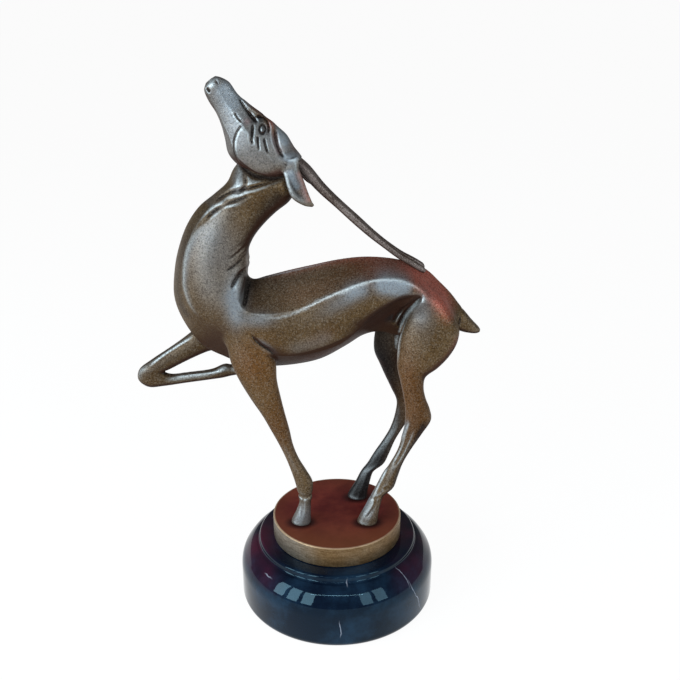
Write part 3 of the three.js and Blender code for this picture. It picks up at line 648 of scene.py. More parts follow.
# %% [markdown]
# ## The body
# From the rump to the throat the surface is drawn with sharp lines: folds where the throat bends,
# short folds in the nape, the elbow's flap, a hollow before the thigh and the thigh's raised rim.
# On the real casting they are chased with a punch. Boolean cuts would leave hard walls, and sculpt
# strokes can't be written down, so each line is a groove or a fold that fades out at its ends.
# Lines that belong to the trunk go in before the legs are joined, so that they don't cut the legs.
# Two lines are used again for the patina: the jaw's edge and the front of neck and breast.

# %% The trunk's field
voxel = 0.5
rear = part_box("tail")[1][0] / MM
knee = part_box("raised_foreleg")[0][0] / MM
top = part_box("neck")[1][2] / MM
body_low = (knee - 3, left_side - 8, sole_height - 2)
body_high = (rear + 3, right_side + 8, top + 9)
body_block = Block(body_low, body_high, voxel)
body = body_block.distance(trunk())
print("body block:", body_block.count.tolist(), "voxels")

# %% Lines that are drawn more than once
jaw_line = [
    (-47.5, 200.1), (-46.3, 195.5), (-44.2, 191.8), (-41.0, 189.0), (-36.5, 187.2), (-30.9, 186.7),
    (-26.2, 187.2), (-23.4, 189.0),
]
breast_line = [
    (-73.4, 131.0), (-74.1, 136.1), (-73.7, 141.1), (-72.8, 147.6), (-71.0, 153.6), (-68.3, 159.5),
    (-65.2, 163.9), (-60.7, 168.2), (-55.8, 172.0),
]
print("jaw and breast:", len(jaw_line), "and", len(breast_line), "points")

# %% Folds of the throat
relief = Relief(body_block)
relief.groove([
    (-58.9, 173.4), (-56.9, 175.6), (-54.0, 177.7), (-50.7, 179.9), (-46.9, 181.3), (-42.6, 182.2),
    (-37.4, 183.4), (-32.8, 184.6), (-27.1, 186.2),
], 0.5, 0.9, ends=0.2)
relief.groove([
    (-63.5, 165.7), (-60.5, 169.1), (-57.0, 172.0), (-53.6, 174.2), (-49.3, 176.1), (-43.6, 178.0),
    (-37.9, 180.1),
], 0.5, 1.0, ends=0.2)
relief.groove([(-55.1, 174.4), (-51.3, 176.8), (-46.5, 178.7), (-41.3, 180.3)], 0.4, 0.5)
relief.fold([
    (-23.9, 186.0), (-32.8, 183.2), (-40.3, 181.0), (-46.9, 179.4), (-52.7, 176.5), (-57.6, 172.7),
], 0.35, 2.2, ends=0.25)
relief.swell(-51.0, 174.5, 6.0, 1.2, 0.5)
relief.report("folds of the throat")

# %% Folds of the nape
relief.groove([(-51.8, 151.3), (-47.8, 153.8), (-43.9, 157.2)], 0.45, 0.4)
relief.groove([(-53.8, 148.3), (-49.9, 149.8), (-45.5, 152.8), (-42.5, 155.8)], 0.5, 0.8)
relief.groove([(-53.0, 145.8), (-48.1, 148.3), (-43.1, 152.3)], 0.4, 0.4)
relief.groove([(-54.4, 143.1), (-49.0, 145.6), (-43.6, 149.6)], 0.55, 0.9)
relief.groove([(-50.9, 134.4), (-48.8, 138.4), (-46.2, 141.5), (-43.3, 143.5)], 1.1, 1.6)
relief.groove([(-43.4, 140.4), (-43.6, 134.9), (-44.3, 129.8), (-45.0, 124.6)], 0.9, 1.6, ends=0.15)
relief.swell(-48.0, 134.0, 3.0, 5.0, 0.8)
relief.report("folds of the nape")

# %% The gullet under the jaw
relief.groove([
    (-43.9, 189.3), (-42.6, 186.5), (-42.8, 183.2), (-44.7, 180.8), (-48.5, 179.9),
], 0.5, 0.9)
relief.swell(-46.5, 185.5, 2.5, 4.0, 0.8)
relief.groove(jaw_line, 1.4, 1.2, ends=0.1)
relief.report("gullet")

# %% The elbow's flap
relief.groove([(-42.5, 112.5), (-39.7, 108.2), (-36.8, 105.0), (-33.4, 102.3), (-30.6, 98.6)], 0.8, 1.5)
relief.fold([(-30.6, 98.6), (-33.4, 102.3), (-36.8, 105.0), (-39.7, 108.2), (-42.5, 112.5)], 0.6, 5.0)
relief.report("elbow's flap")

# %% The thigh's rim and the hollow before it
relief.fold([
    (41.7, 132.2), (39.7, 126.5), (37.2, 121.9), (35.2, 117.2), (33.1, 111.4), (31.5, 105.5),
    (30.7, 101.8), (30.0, 96.4), (30.2, 87.7),
], 1.0, 7.0, edge=0.4, ends=0.08)
relief.groove([
    (41.5, 131.2), (39.2, 127.6), (36.6, 123.7), (34.3, 119.5), (32.5, 115.1), (31.1, 110.3),
], 0.7, 2.0, ends=0.12)
relief.groove([
    (39.9, 130.3), (36.2, 125.9), (32.9, 121.5), (29.8, 116.8), (28.2, 112.1),
], 0.6, 1.2, ends=0.12)
relief.fold([
    (12.0, 113.6), (15.4, 117.8), (19.7, 122.0), (24.5, 125.1), (29.3, 128.2), (35.1, 130.3),
    (40.8, 132.0),
], 0.9, 5.0, edge=0.8, ends=0.12)
relief.swell(29.0, 120.5, 8.0, 5.0, -1.8)
relief.swell(19.8, 116.8, 8.0, 4.0, -1.0)
relief.groove([(41.5, 94.2), (44.1, 90.9), (47.2, 88.8)], 0.9, 1.6)
relief.fold([
    (-30.7, 98.0), (-23.2, 98.8), (-15.7, 100.4), (-8.3, 102.6), (-1.8, 105.3), (4.1, 108.2),
    (9.6, 110.9),
], 0.35, 5.0, edge=0.6)
relief.report("thigh's rim")

# %% Emboss the trunk, then join the legs and the tail
body = relief.apply(body)
for part, fillet in [
    (leg(hind_leg_shares, -1, hind_leg_width), 2.2),
    (leg(hind_leg_shares, 1, hind_leg_width, stride_shares), 2.2),
    (leg(standing_foreleg_shares, -1, fore_leg_width), 2.2),
    (leg(raised_foreleg_shares, 1, fore_leg_width), 1.6),
    (tail(), 1.2),
]:
    body = join(body, body_block.distance(part), fillet)
print("joined: 4 legs and the tail")

# %% [markdown]
# ## Hoofs and shins
# A fine line marks the top of each hoof and the cleft of its toes, and the shins carry one thin
# ridge. They go in last, because the joins would soften them.

# %% Hoofs and shins
hoofs = Relief(body_block)
hoofs.groove([(-21.0, 19.0), (-17.3, 18.1), (-13.1, 18.7)], 0.5, 0.3, side=-1, ends=0.02)
hoofs.groove([(-17.6, 18.4), (-18.2, 13.4), (-18.6, 4.7)], 0.5, 0.35, side=-1, ends=0.2)
hoofs.fold([(-13.1, 17.8), (-17.3, 16.8), (-21.0, 17.8)], 0.5, 3.5, side=-1, ends=0.02, edge=0.5)
hoofs.groove([(15.4, 17.8), (19.6, 16.8), (23.3, 18.7)], 0.5, 0.25, side=-1, ends=0.02)
hoofs.groove([(20.6, 19.0), (20.4, 14.1), (18.4, 9.7), (15.5, 5.3)], 0.5, 0.6, side=-1, ends=0.15)
hoofs.groove([(24.8, 22.6), (27.4, 24.5)], 0.8, 0.5, side=-1, ends=0.3)
hoofs.groove([
    (37.3, 62.8), (31.6, 47.8), (26.6, 36.5), (22.1, 25.7), (19.1, 17.7),
], 0.6, -0.45, side=-1, ends=0.1)
hoofs.groove([(38.9, 60.5), (34.2, 45.4), (29.8, 35.9)], 0.7, 0.5, side=-1, ends=0.2)
hoofs.groove([(-72.9, 102.7), (-80.9, 97.7), (-91.8, 90.3), (-98.5, 84.7)], 0.8, -0.4, side=1, ends=0.2)
hoofs.groove([(-87.4, 78.9), (-76.9, 80.1), (-66.3, 81.2), (-57.9, 83.0)], 0.6, -0.35, side=1, ends=0.2)
body = hoofs.apply(soften(body))
body_object = skin_object("body", body_block, body)

# %% [markdown]
# ## Tones of the patina
# The brown patina isn't even. Handling has rubbed the neck, the breast, the flank's crest and the
# shins to a cool silver grey, and a painted sheen of the window light lies over these, the haunch,
# the hoofs and the face. Heat left the forelegs golden and the rump red, and painted shade darkens
# the inner sides, the far legs, the hollows and the creases. Each tone is one number per point of
# the mesh, drawn in the side view as the folds were, and the finish mixes its colours by them.
# Painting by hand would need an image, and shares per point go into any export.

# %% Silver: rubbed patina with painted sheen of the window light
silver = Relief(body_block)
silver.spot(-57.0, 160.0, 11.0, 20.0, 0.34, turn=30)
silver.spot(-60.0, 140.0, 9.0, 16.0, 0.24)
silver.groove([(-66.5, 118.0), (-71.4, 124.2)] + breast_line, 2.0, 0.45, ends=0.2)
before_breast = [(x - 3.2, z) for x, z in breast_line]
silver.groove([(-64.5, 114.3), (-70.1, 118.0), (-74.6, 124.2)] + before_breast, 2.6, -1.4, ends=0.05)
silver.spot(-46.0, 184.5, 3.0, 6.0, 0.6)
silver.spot(-49.0, 128.0, 4.5, 11.0, 1.1)
silver.spot(-38.0, 119.5, 8.0, 3.5, 0.5)
silver.groove([(17.0, 136.2), (24.7, 136.5), (31.5, 135.2), (37.3, 133.7)], 4.4, 1.6, ends=0.3)
silver.groove([(2.6, 131.2), (9.9, 133.7), (17.1, 134.7)], 3.6, 0.5, ends=0.3)
silver.spot(6.0, 131.0, 14.0, 4.0, 0.4, turn=35)
silver.spot(41.0, 125.0, 5.0, 8.0, 0.5)
silver.groove([
    (36.8, 64.0), (33.5, 54.2), (29.1, 43.6), (24.6, 34.1), (20.3, 24.5), (17.0, 15.9), (12.9, 7.2),
], 1.1, 0.9, side=-1, ends=0.1)
silver.spot(15.0, 8.4, 5.0, 5.0, 0.5, side=-1)
silver.groove([(-25.6, 101.4), (-18.1, 104.1), (-9.2, 107.3), (-0.8, 112.6)], 4.0, 0.22, ends=0.2)
silver.spot(-18.0, 6.0, 9.0, 9.0, 0.6)
silver.groove([(-39.0, 110.0), (-35.5, 106.0), (-31.5, 101.5), (-29.5, 97.0)], 1.6, 0.7)
silver.report("silver")

# %% Golden and red: where the torch dwelt
golden = Relief(body_block)
golden.spot(-42.0, 96.0, 12.0, 14.0, 0.9, side=-1)
golden.spot(-30.0, 60.0, 10.0, 26.0, 0.75, side=-1)
golden.spot(35.0, 88.0, 7.0, 16.0, 0.8)
golden.spot(40.0, 68.0, 8.0, 18.0, 1.1)
golden.groove([
    (-32.6, 125.1), (-17.8, 129.7), (-3.2, 135.4), (11.3, 141.5), (25.8, 142.5), (36.5, 139.5),
], 5.0, 0.7, ends=0.2)
golden.groove([(-18.1, 105.1), (-8.2, 108.9), (1.7, 115.2)], 4.0, 0.3, ends=0.3)
red = Relief(body_block)
red.groove([
    (28.7, 145.4), (35.5, 143.4), (40.5, 139.8), (46.5, 133.7), (52.7, 125.9), (58.6, 117.0),
], 4.2, 1.3, ends=0.3)
red.groove([(61.9, 110.1), (60.3, 102.5), (56.0, 96.0), (50.7, 90.5), (45.9, 85.5)], 2.6, 0.8, ends=0.2)
red.groove([
    (-38.0, 137.2), (-28.0, 140.0), (-17.8, 142.4), (-3.2, 145.5), (13.8, 148.0), (26.9, 148.0),
    (35.7, 145.5),
], 2.6, 0.6, ends=0.2)
red.spot(24.0, 143.5, 13.0, 5.0, 0.28)
red.groove([(-22.0, 93.4), (-18.5, 93.8), (-3.4, 99.3), (12.6, 107.9)], 2.5, 0.5, ends=0.2)
golden.report("golden")
red.report("red")

# %% Painted shade: the inner sides, the far legs, the hollows and the creases
shade = Relief(body_block)
shade.groove([
    (46.0, 64.6), (40.8, 51.3), (36.0, 40.7), (32.5, 32.3), (30.6, 25.1), (27.5, 20.2),
], 1.9, 0.8, side=-1, ends=0.1)
shade.spot(41.0, 62.0, 4.0, 14.0, 0.3, side=-1, turn=-20)
shade.spot(22.0, 90.0, 18.0, 36.0, 0.86, side=1)
shade.spot(18.0, 45.0, 20.0, 34.0, 0.8, side=1)
shade.spot(12.0, 10.0, 18.0, 26.0, 1.0, side=1)
shade.spot(28.0, 119.9, 15.0, 4.8, 0.7, turn=33)
shade.spot(22.7, 115.2, 12.0, 5.0, 0.7, turn=15)
shade.spot(41.0, 82.0, 6.0, 13.0, 0.28, side=-1)
shade.spot(-30.0, 55.0, 9.0, 24.0, 0.12, side=-1)
shade.spot(-80.0, 88.0, 28.0, 16.0, 0.4, side=1)
shade.groove([
    (-24.0, 180.0), (-30.7, 173.3), (-35.2, 166.2), (-38.8, 158.9), (-43.9, 151.0),
], 5.0, 0.75, ends=0.1)
shade.groove(jaw_line, 2.2, 0.8, ends=0.1)
shade.spot(-42.0, 136.0, 2.5, 6.0, 0.6)
shade.groove([
    (-41.0, 111.0), (-36.8, 105.4), (-33.0, 101.8), (-30.2, 97.6), (-29.2, 93.0),
], 0.7, 0.75, ends=0.15)
shade.groove([
    (-56.8, 174.6), (-63.2, 168.8), (-69.4, 161.0), (-73.8, 152.1), (-76.9, 142.0), (-78.1, 131.8),
    (-76.8, 122.4), (-72.8, 115.0),
], 3.0, 0.5, ends=0.05)
shade.report("shade")

# %% Edges worn bright, with a painted highlight along them
edges = Relief(body_block)
edges.groove([
    (40.8, 130.6), (38.5, 125.5), (35.8, 120.3), (33.5, 114.6), (31.7, 108.2), (30.9, 101.8),
    (30.6, 94.2),
], 0.45, 0.7, ends=0.15)
edges.groove([(-66.9, 118.5), (-71.4, 124.8)] + breast_line[:-2], 0.8, 0.5, ends=0.25)
edges.groove([
    (-38.3, 120.8), (-30.0, 120.3), (-23.6, 121.4), (-17.8, 123.4), (-12.9, 126.0), (-8.0, 128.8),
    (-3.2, 130.9), (1.7, 132.7), (6.5, 134.7), (10.6, 136.2), (16.5, 138.3), (24.2, 138.8),
    (30.9, 138.3), (37.2, 136.2), (41.2, 133.2),
], 0.55, 0.6, ends=0.15)


def write_tones(obj, **tones):
    """Writes each pattern as one share per point of the mesh."""
    for name, tone in tones.items():
        amounts = tone.read(points_of(obj))
        write_attribute(obj, name, amounts)
        print(f"{name} covers {amounts.mean():.1%} of the", obj.name)


write_tones(body_object, silver=silver, golden=golden, red=red, shade=shade, edge=edges)

# %% [markdown]
# ## The head's skin
# The face is stylised: a round cheek plate with one edge line, an eye like a bead in a slanting
# socket, three strokes under it, a ridge over the brow and a pricked nostril. It gets its own block
# with smaller voxels, because these lines are only half a millimetre wide.

# %% The skull's field
fine = 0.25
low, high = (np.array(corner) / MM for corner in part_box("head"))
ear_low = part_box("left_ear")[0][2] / MM
head_low = (low[0] - 3, middle - 16, ear_low - 3)
head_high = (high[0] + 9, middle + 16, high[2] + 3)
head_block = Block(head_low, head_high, fine, reach=3.0)
skull = head_block.distance(head())
print("head block:", head_block.count.tolist(), "voxels")

# %% Cheek and muzzle lines
face = Relief(head_block)
cheek = [
    (-42.0, 211.9), (-44.4, 209.6), (-46.3, 206.5), (-47.4, 202.4), (-47.1, 198.3), (-45.5, 194.6),
    (-42.8, 191.8), (-39.2, 189.5), (-34.6, 188.1), (-29.5, 187.6), (-24.8, 189.0), (-22.4, 191.8),
]
face.fold(cheek, 0.6, 9.0, edge=0.8, ends=0.06)
face.groove(cheek[:6], 0.32, 0.45, ends=0.15)
face.groove([(-46.8, 216.5), (-45.7, 214.7), (-44.4, 213.1), (-43.1, 212.0)], 0.4, 0.55, ends=0.15)
face.groove([
    (-44.6, 222.6), (-43.3, 220.1), (-41.4, 217.2), (-39.4, 214.6), (-36.8, 211.9),
], 0.45, 0.9, ends=0.1)
face.groove([(-41.1, 216.9), (-39.2, 214.4), (-37.4, 212.4), (-35.8, 211.5)], 1.05, 1.2, ends=0.3)
face.groove([(-43.7, 222.1), (-40.2, 218.7), (-36.2, 215.8), (-33.1, 213.6)], 0.4, -0.5, ends=0.1)
face.report("cheek and muzzle")

# %% Eye, socket and the strokes below
face.groove([
    (-37.6, 213.4), (-35.7, 214.3), (-33.4, 213.6), (-31.9, 211.6), (-31.3, 208.9), (-31.8, 206.6),
], 0.5, 0.8, ends=0.15)
face.groove([(-38.2, 211.8), (-38.5, 208.2), (-38.8, 204.6), (-38.5, 202.3)], 0.62, 1.0, ends=0.2)
face.groove([(-36.1, 206.4), (-36.0, 203.2), (-35.6, 199.6)], 0.42, 0.9, ends=0.2)
face.groove([(-33.4, 205.5), (-32.6, 201.9), (-31.5, 198.2)], 0.42, 0.9, ends=0.2)
eye_x, eye_z, eye_wide, eye_high = -34.0, 208.9, 1.35, 1.9
around = np.linspace(0, 2 * math.pi, 17)
round_eye = [(eye_x + eye_wide * math.cos(a), eye_z + eye_high * math.sin(a)) for a in around]
face.groove(round_eye, 0.38, 0.65, ends=0)
face.swell(eye_x, eye_z, 0.8, 1.1, 0.7)
face.report("eye")

# %% Brow ridge, horn root and nostril
face.groove([
    (-30.7, 213.1), (-29.6, 209.9), (-29.7, 206.3), (-28.9, 202.2), (-27.0, 197.6),
], 0.8, -0.4, ends=0.2)
face.groove([
    (-28.3, 208.6), (-28.1, 205.0), (-27.3, 201.3), (-25.8, 198.1), (-24.0, 195.3),
], 1.0, 1.0, ends=0.25)
face.swell(-24.0, 204.5, 3.4, 5.0, 0.8)
face.swell(-20.9, 196.2, 3.2, 1.8, 0.9)
face.groove([(-23.8, 192.8), (-21.0, 193.4), (-17.7, 195.1)], 0.5, 0.8, ends=0.2)
face.groove([(-59.1, 227.2), (-58.3, 226.0), (-57.4, 225.0)], 0.55, 0.9)
face.groove([(-54.8, 230.7), (-54.3, 229.6), (-53.6, 228.5)], 0.4, 0.4)
face.report("brow and nostrils")

# %% Join the ears
skull = face.apply(skull, clear=0.6)
for side in (-1, 1):
    skull = join(skull, head_block.distance(ear(side)), 1.2)
skull = soften(skull)
head_object = skin_object("head_skin", head_block, skull)

# %% Tones of the head
# Painted sheen of the window light on the cheek, muzzle and brow, partly rubbed silver patina
head_silver_and_sheen = Relief(head_block)
head_silver_and_sheen.spot(-42.0, 208.0, 24.0, 34.0, 0.55, turn=30)
head_silver_and_sheen.spot(-49.0, 224.0, 7.0, 9.0, 0.45, turn=35)
head_silver_and_sheen.spot(-27.0, 206.5, 5.0, 8.0, 0.5, turn=35)
head_silver_and_sheen.groove([(-52.8, 229.1), (-49.0, 224.3), (-44.8, 217.7)], 3.0, 0.6, ends=0.2)
head_silver_and_sheen.spot(-24.9, 205.0, 2.6, 4.5, 1.0)
head_silver_and_sheen.spot(-20.9, 196.0, 4.0, 2.0, 0.9)
head_silver_and_sheen.groove([(-21.9, 191.3), (-20.1, 185.7), (-17.4, 181.0)], 2.0, 0.9, ends=0.2)
head_silver_and_sheen.groove([(-24.7, 192.8), (-30.8, 189.0), (-37.8, 189.5), (-43.2, 193.2)], 2.0, -0.12, ends=0.1)
head_silver_and_sheen.groove([
    (-41.2, 219.3), (-35.8, 215.8), (-31.4, 211.7), (-28.7, 207.2), (-26.1, 202.6), (-23.9, 198.5),
], 1.8, -0.8, ends=0.2)
# Painted shade under the cheek, round the eye, along the chin and behind the ear
head_painted_shade = Relief(head_block)
head_painted_shade.groove(cheek[3:11], 1.3, 0.6, ends=0.15)
head_painted_shade.spot(-35.7, 213.4, 2.6, 1.7, 1.0)
head_painted_shade.spot(-18.5, 183.0, 6.5, 9.0, 0.45, turn=20)
head_painted_shade.groove([
    (-59.8, 228.2), (-60.7, 225.2), (-59.1, 220.6), (-55.8, 215.0), (-53.6, 209.5), (-52.2, 203.0),
    (-51.0, 196.2), (-46.2, 190.5),
], 1.2, 0.55, ends=0.1)
head_painted_shade.spot(-34.0, 209.2, 2.2, 3.2, 0.5)
head_painted_shade.spot(-38.6, 208.6, 0.8, 4.0, 0.6)
head_painted_shade.groove([(-23.3, 190.4), (-21.5, 184.8), (-18.4, 179.6), (-14.7, 176.3)], 1.0, 0.5, ends=0.2)
rust = Relief(head_block)
rust.groove([
    (-44.8, 225.1), (-40.4, 221.5), (-35.5, 217.7), (-30.5, 214.1), (-27.4, 211.0), (-24.2, 207.8),
    (-21.5, 204.1), (-18.8, 199.9), (-16.6, 195.8),
], 1.3, 0.7, ends=0.15)
rust.spot(-30.2, 210.5, 1.9, 3.0, 0.55)
rust.groove([(-28.5, 208.1), (-27.7, 202.7), (-25.1, 196.7)], 1.3, 0.7, ends=0.2)
rust.spot(-40.8, 212.5, 1.6, 1.4, 0.5)
rust.groove([(-18.6, 190.4), (-16.0, 184.8), (-14.2, 179.6), (-12.4, 175.3)], 1.6, 0.5, ends=0.1)
rust.groove([
    (-24.8, 189.8), (-31.0, 187.0), (-37.9, 187.4), (-43.4, 190.7), (-46.5, 195.3),
], 1.6, 0.7, ends=0.15)
write_tones(head_object, silver=head_silver_and_sheen, shade=head_painted_shade, red=rust)

# %% [markdown]
# ## Plinth and marble
# Both are turned on a lathe, so both are a profile swung round the base's axis. The marble has a
# flat foot, an upright wall that bows in towards its brink, a sloping shoulder, a narrow ledge and
# a rounded tier, and a counterbore below for the nut. The plinth is a shallow bronze cup, hollow
# below for the hoofs' screws. A Screw modifier would do it too, but the plain rings keep the caps
# and the order of faces in hand.

# %% Turning a profile
def turned(name, profile, sides=160, closed=True):
    """A body turned about the axis of the base, from radius and height pairs in order.

    A closed profile is a ring that comes back to its start. An open one gets a flat disc over
    each end."""
    angles = np.linspace(0, 2 * math.pi, sides, endpoint=False)
    rings = np.array([[(r * math.cos(a), r * math.sin(a), z) for a in angles] for r, z in profile])
    if not closed:
        return new_object(name, *closed_skin(rings))
    i, j = np.meshgrid(np.arange(len(profile)), np.arange(sides), indexing="ij")
    after, up = (j + 1) % sides, (i + 1) % len(profile)
    faces = np.stack([i * sides + j, i * sides + after, up * sides + after, up * sides + j], -1)
    points = rings.reshape(-1, 3)
    return new_object(name, points, outward(points, faces.reshape(-1, 4)))


def arc(radius, height, bend_radius, start, end, points=8):
    """Profile points on a quarter or half circle, from and to an angle in degrees."""
    angles = np.radians(np.linspace(start, end, points))
    return [(radius + bend_radius * math.cos(a), height + bend_radius * math.sin(a)) for a in angles]


print("a rounded corner of 1 mm:", np.round(arc(0, 0, 1, 0, 90, 3), 2).tolist())

# %% The marble's profile
marble_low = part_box("marble_base")[0][2] / MM
wall_radius, wall_height, foot_round = 53.2, 18.6, 4.1
bow_length, bow_lean, bow_steps, bow_ease = 8.5, 33.0, 14, 1.3
ledge_radius, ledge_height, crown, shoulder_steps = 44.6, 33.3, 0.16, 14
tier_radius, tier_height, tier_round = 43.0, 3.9, 1.6
bore_radius, counterbore_radius, counterbore_depth = 3.6, 13, 14

ledge, wall_top = marble_low + ledge_height, marble_low + wall_height
turns = np.radians(bow_lean * ((np.arange(bow_steps) + 0.5) / bow_steps) ** bow_ease)
bow = np.cumsum(np.stack([-np.sin(turns), np.cos(turns)], axis=1), axis=0) * bow_length / bow_steps
drum = [(counterbore_radius, marble_low)]
drum += arc(wall_radius - foot_round, marble_low + foot_round, foot_round, -90, 0)
drum += [(wall_radius, wall_top)] + [(wall_radius + r, wall_top + z) for r, z in bow]
brink_r, brink_z = drum[-1]
rise, run = ledge - brink_z, brink_r - ledge_radius
drum += [
    (brink_r - run * t, brink_z + rise * (t + crown * math.sin(math.pi * t)))
    for t in np.linspace(0.03, 1, shoulder_steps)
]
drum += arc(tier_radius + tier_round, ledge + tier_round, tier_round, -90, -180)
drum += arc(tier_radius - tier_round, ledge + tier_height - tier_round, tier_round, 0, 90)
drum += [(bore_radius, ledge + tier_height), (bore_radius, marble_low + counterbore_depth)]
drum += [(counterbore_radius, marble_low + counterbore_depth)]
marble_object = turned("marble_turning", drum)
print("the marble's brink: radius", round(brink_r, 1), "height", round(brink_z, 1))

# %% The plinth's profile
plinth_low, plinth_high = (corner[2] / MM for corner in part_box("plinth"))
plinth_radius, rim_round, foot_break = 35.0, 0.6, 0.3
cavity_radius, cavity_height, boss_radius = 31.8, 8.2, 8
tapped_radius, tapped_tip, tapped_height = 3.3, 3.0, 7.3
cup = [
    (tapped_tip, plinth_low + tapped_height), (tapped_radius, plinth_low + tapped_height),
    (tapped_radius, plinth_low), (boss_radius, plinth_low), (boss_radius, plinth_low + cavity_height),
    (cavity_radius, plinth_low + cavity_height), (cavity_radius, plinth_low),
]
cup += arc(plinth_radius - foot_break, plinth_low + foot_break, foot_break, -90, 0, 4)
cup += arc(plinth_radius - rim_round, plinth_high - rim_round, rim_round, 0, 90)
cup += [(r, plinth_high) for r in (33.5, 30, 20, 10)]
plinth_object = turned("plinth_turning", cup, closed=False)
print("plinth from", round(plinth_low, 1), "to", round(plinth_high, 1), "mm")

# %% [markdown]
# ## Shader maths
# A node tree with fifty maths nodes is hard to read. This class wraps a socket, so that 1 - mask
# or a * b writes the nodes, and the finishes below read like sums. Colours and vectors go through
# Mix and Vector Math nodes, because a Math node would turn them grey.

# %% A socket that does sums
class Value:
    """A socket that adds its maths nodes by itself when it is used in an expression."""

    def __init__(self, paint, socket):
        self.paint = paint
        self.socket = socket

    def maths(self, operation, first, second):
        return self.paint.node("ShaderNodeMath", {"operation": operation}, first, second)

    def __add__(self, other):
        return self.maths("ADD", self, other)

    __radd__ = __add__

    def __mul__(self, other):
        return self.maths("MULTIPLY", self, other)

    __rmul__ = __mul__

    def __sub__(self, other):
        return self.maths("SUBTRACT", self, other)

    def __rsub__(self, other):
        return self.maths("SUBTRACT", other, self)

    def between(self, low, high):
        """0 below low, 1 above high, and smooth from one to the other."""
        settings = {"interpolation_type": "SMOOTHSTEP"}
        return self.paint.node("ShaderNodeMapRange", settings, self, low, high, 0.0, 1.0)


# %% A material whose nodes come from one method
class Paint:
    """A new material whose nodes are added by one method."""

    def __init__(self, name):
        self.material = bpy.data.materials.new(name)
        self.material.use_nodes = True
        self.tree = self.material.node_tree
        self.tree.nodes.clear()
        self.surface = self.tree.nodes.new("ShaderNodeBsdfPrincipled")
        self.output = self.tree.nodes.new("ShaderNodeOutputMaterial")
        self.tree.links.new(self.surface.outputs[0], self.output.inputs["Surface"])
        self.place = self.node("ShaderNodeTexCoord", {}, output="Object")

    def node(self, kind, settings, *inputs, output=0, **named):
        node = self.tree.nodes.new(kind)
        for key, value in settings.items():
            setattr(node, key, value)
        for key, value in list(enumerate(inputs)) + list(named.items()):
            self.feed(node.inputs[key.replace("_", " ") if isinstance(key, str) else key], value)
        return Value(self, node.outputs[output])

    def feed(self, socket, value):
        if isinstance(value, Value):
            self.tree.links.new(value.socket, socket)
        elif value is not None:
            socket.default_value = value

    def mix(self, share, first, second, blend="MIX"):
        """A colour that goes from the first to the second as the share goes from 0 to 1."""
        node = self.tree.nodes.new("ShaderNodeMix")
        node.data_type = "RGBA"
        node.blend_type = blend
        self.feed(node.inputs[0], share)
        for socket, colour in ((node.inputs[6], first), (node.inputs[7], second)):
            self.feed(socket, colour if isinstance(colour, Value) else (*colour, 1.0))
        return Value(self, node.outputs[2])

    def vector(self, operation, *inputs):
        """Vector maths. A length or a dot product is one number, the others are vectors."""
        output = "Value" if operation in ("LENGTH", "DOT_PRODUCT") else "Vector"
        return self.node("ShaderNodeVectorMath", {"operation": operation}, *inputs, output=output)

    def noise(self, scale, detail=3.0, roughness=0.5, output="Fac", at=None):
        settings = {"Scale": scale, "Detail": detail, "Roughness": roughness}
        return self.node("ShaderNodeTexNoise", {}, output=output, Vector=at or self.place, **settings)

    def drift(self, scale, amount):
        """A vector that wanders smoothly by that amount, to bend another pattern with."""
        centred = self.vector("SUBTRACT", self.noise(scale, output="Color"), (0.5, 0.5, 0.5))
        return self.vector("MULTIPLY", centred, (amount, amount, amount))

    def attribute(self, name):
        return self.node("ShaderNodeAttribute", {"attribute_name": name}, output="Fac")

    def along(self, axis):
        """The place along one axis, in metres."""
        return self.node("ShaderNodeSeparateXYZ", {}, self.place, output=axis)

    def facing(self, direction=(0.0, 0.0, 1.0)):
        """How far the surface faces in that direction of the object's axes, from -1 to 1."""
        normal = self.node("ShaderNodeNewGeometry", {}, output="Normal")
        return self.vector("DOT_PRODUCT", normal, direction)

    def set(self, **named):
        for key, value in named.items():
            self.feed(self.surface.inputs[key.replace("_", " ")], value)

    def bump(self, height, strength, distance):
        settings = {"Strength": strength, "Distance": distance, "Height": height}
        self.set(Normal=self.node("ShaderNodeBump", {}, **settings))


# %% [markdown]
# ## The brown patina
# Patina is a chemical skin on the bronze: mottled brown, speckled at the scale of the polishing
# grit, dark in the hollows and worn bright on the crests. The mottling is noise on Object
# coordinates, so it doesn't slide in another view. The attributes give the tones, among them
# painted sheen and painted shade. The direction that a surface faces, in the statuette's own axes
# and wherever it is seen from, gives three more: what faces ahead to the left and up, between the
# camera and the left window, gets a painted bluish sheen and a painted highlight on its crests, top
# faces get painted shade in a dull brown, and undersides get painted shade in a reddish black.

# %% The patina
grit = 1500.0
ahead_left = (-0.35, -0.85, 0.39)
underneath = (0.15, 0.15, -0.98)
print("grit of", round(1 / grit / MM, 2), "mm")


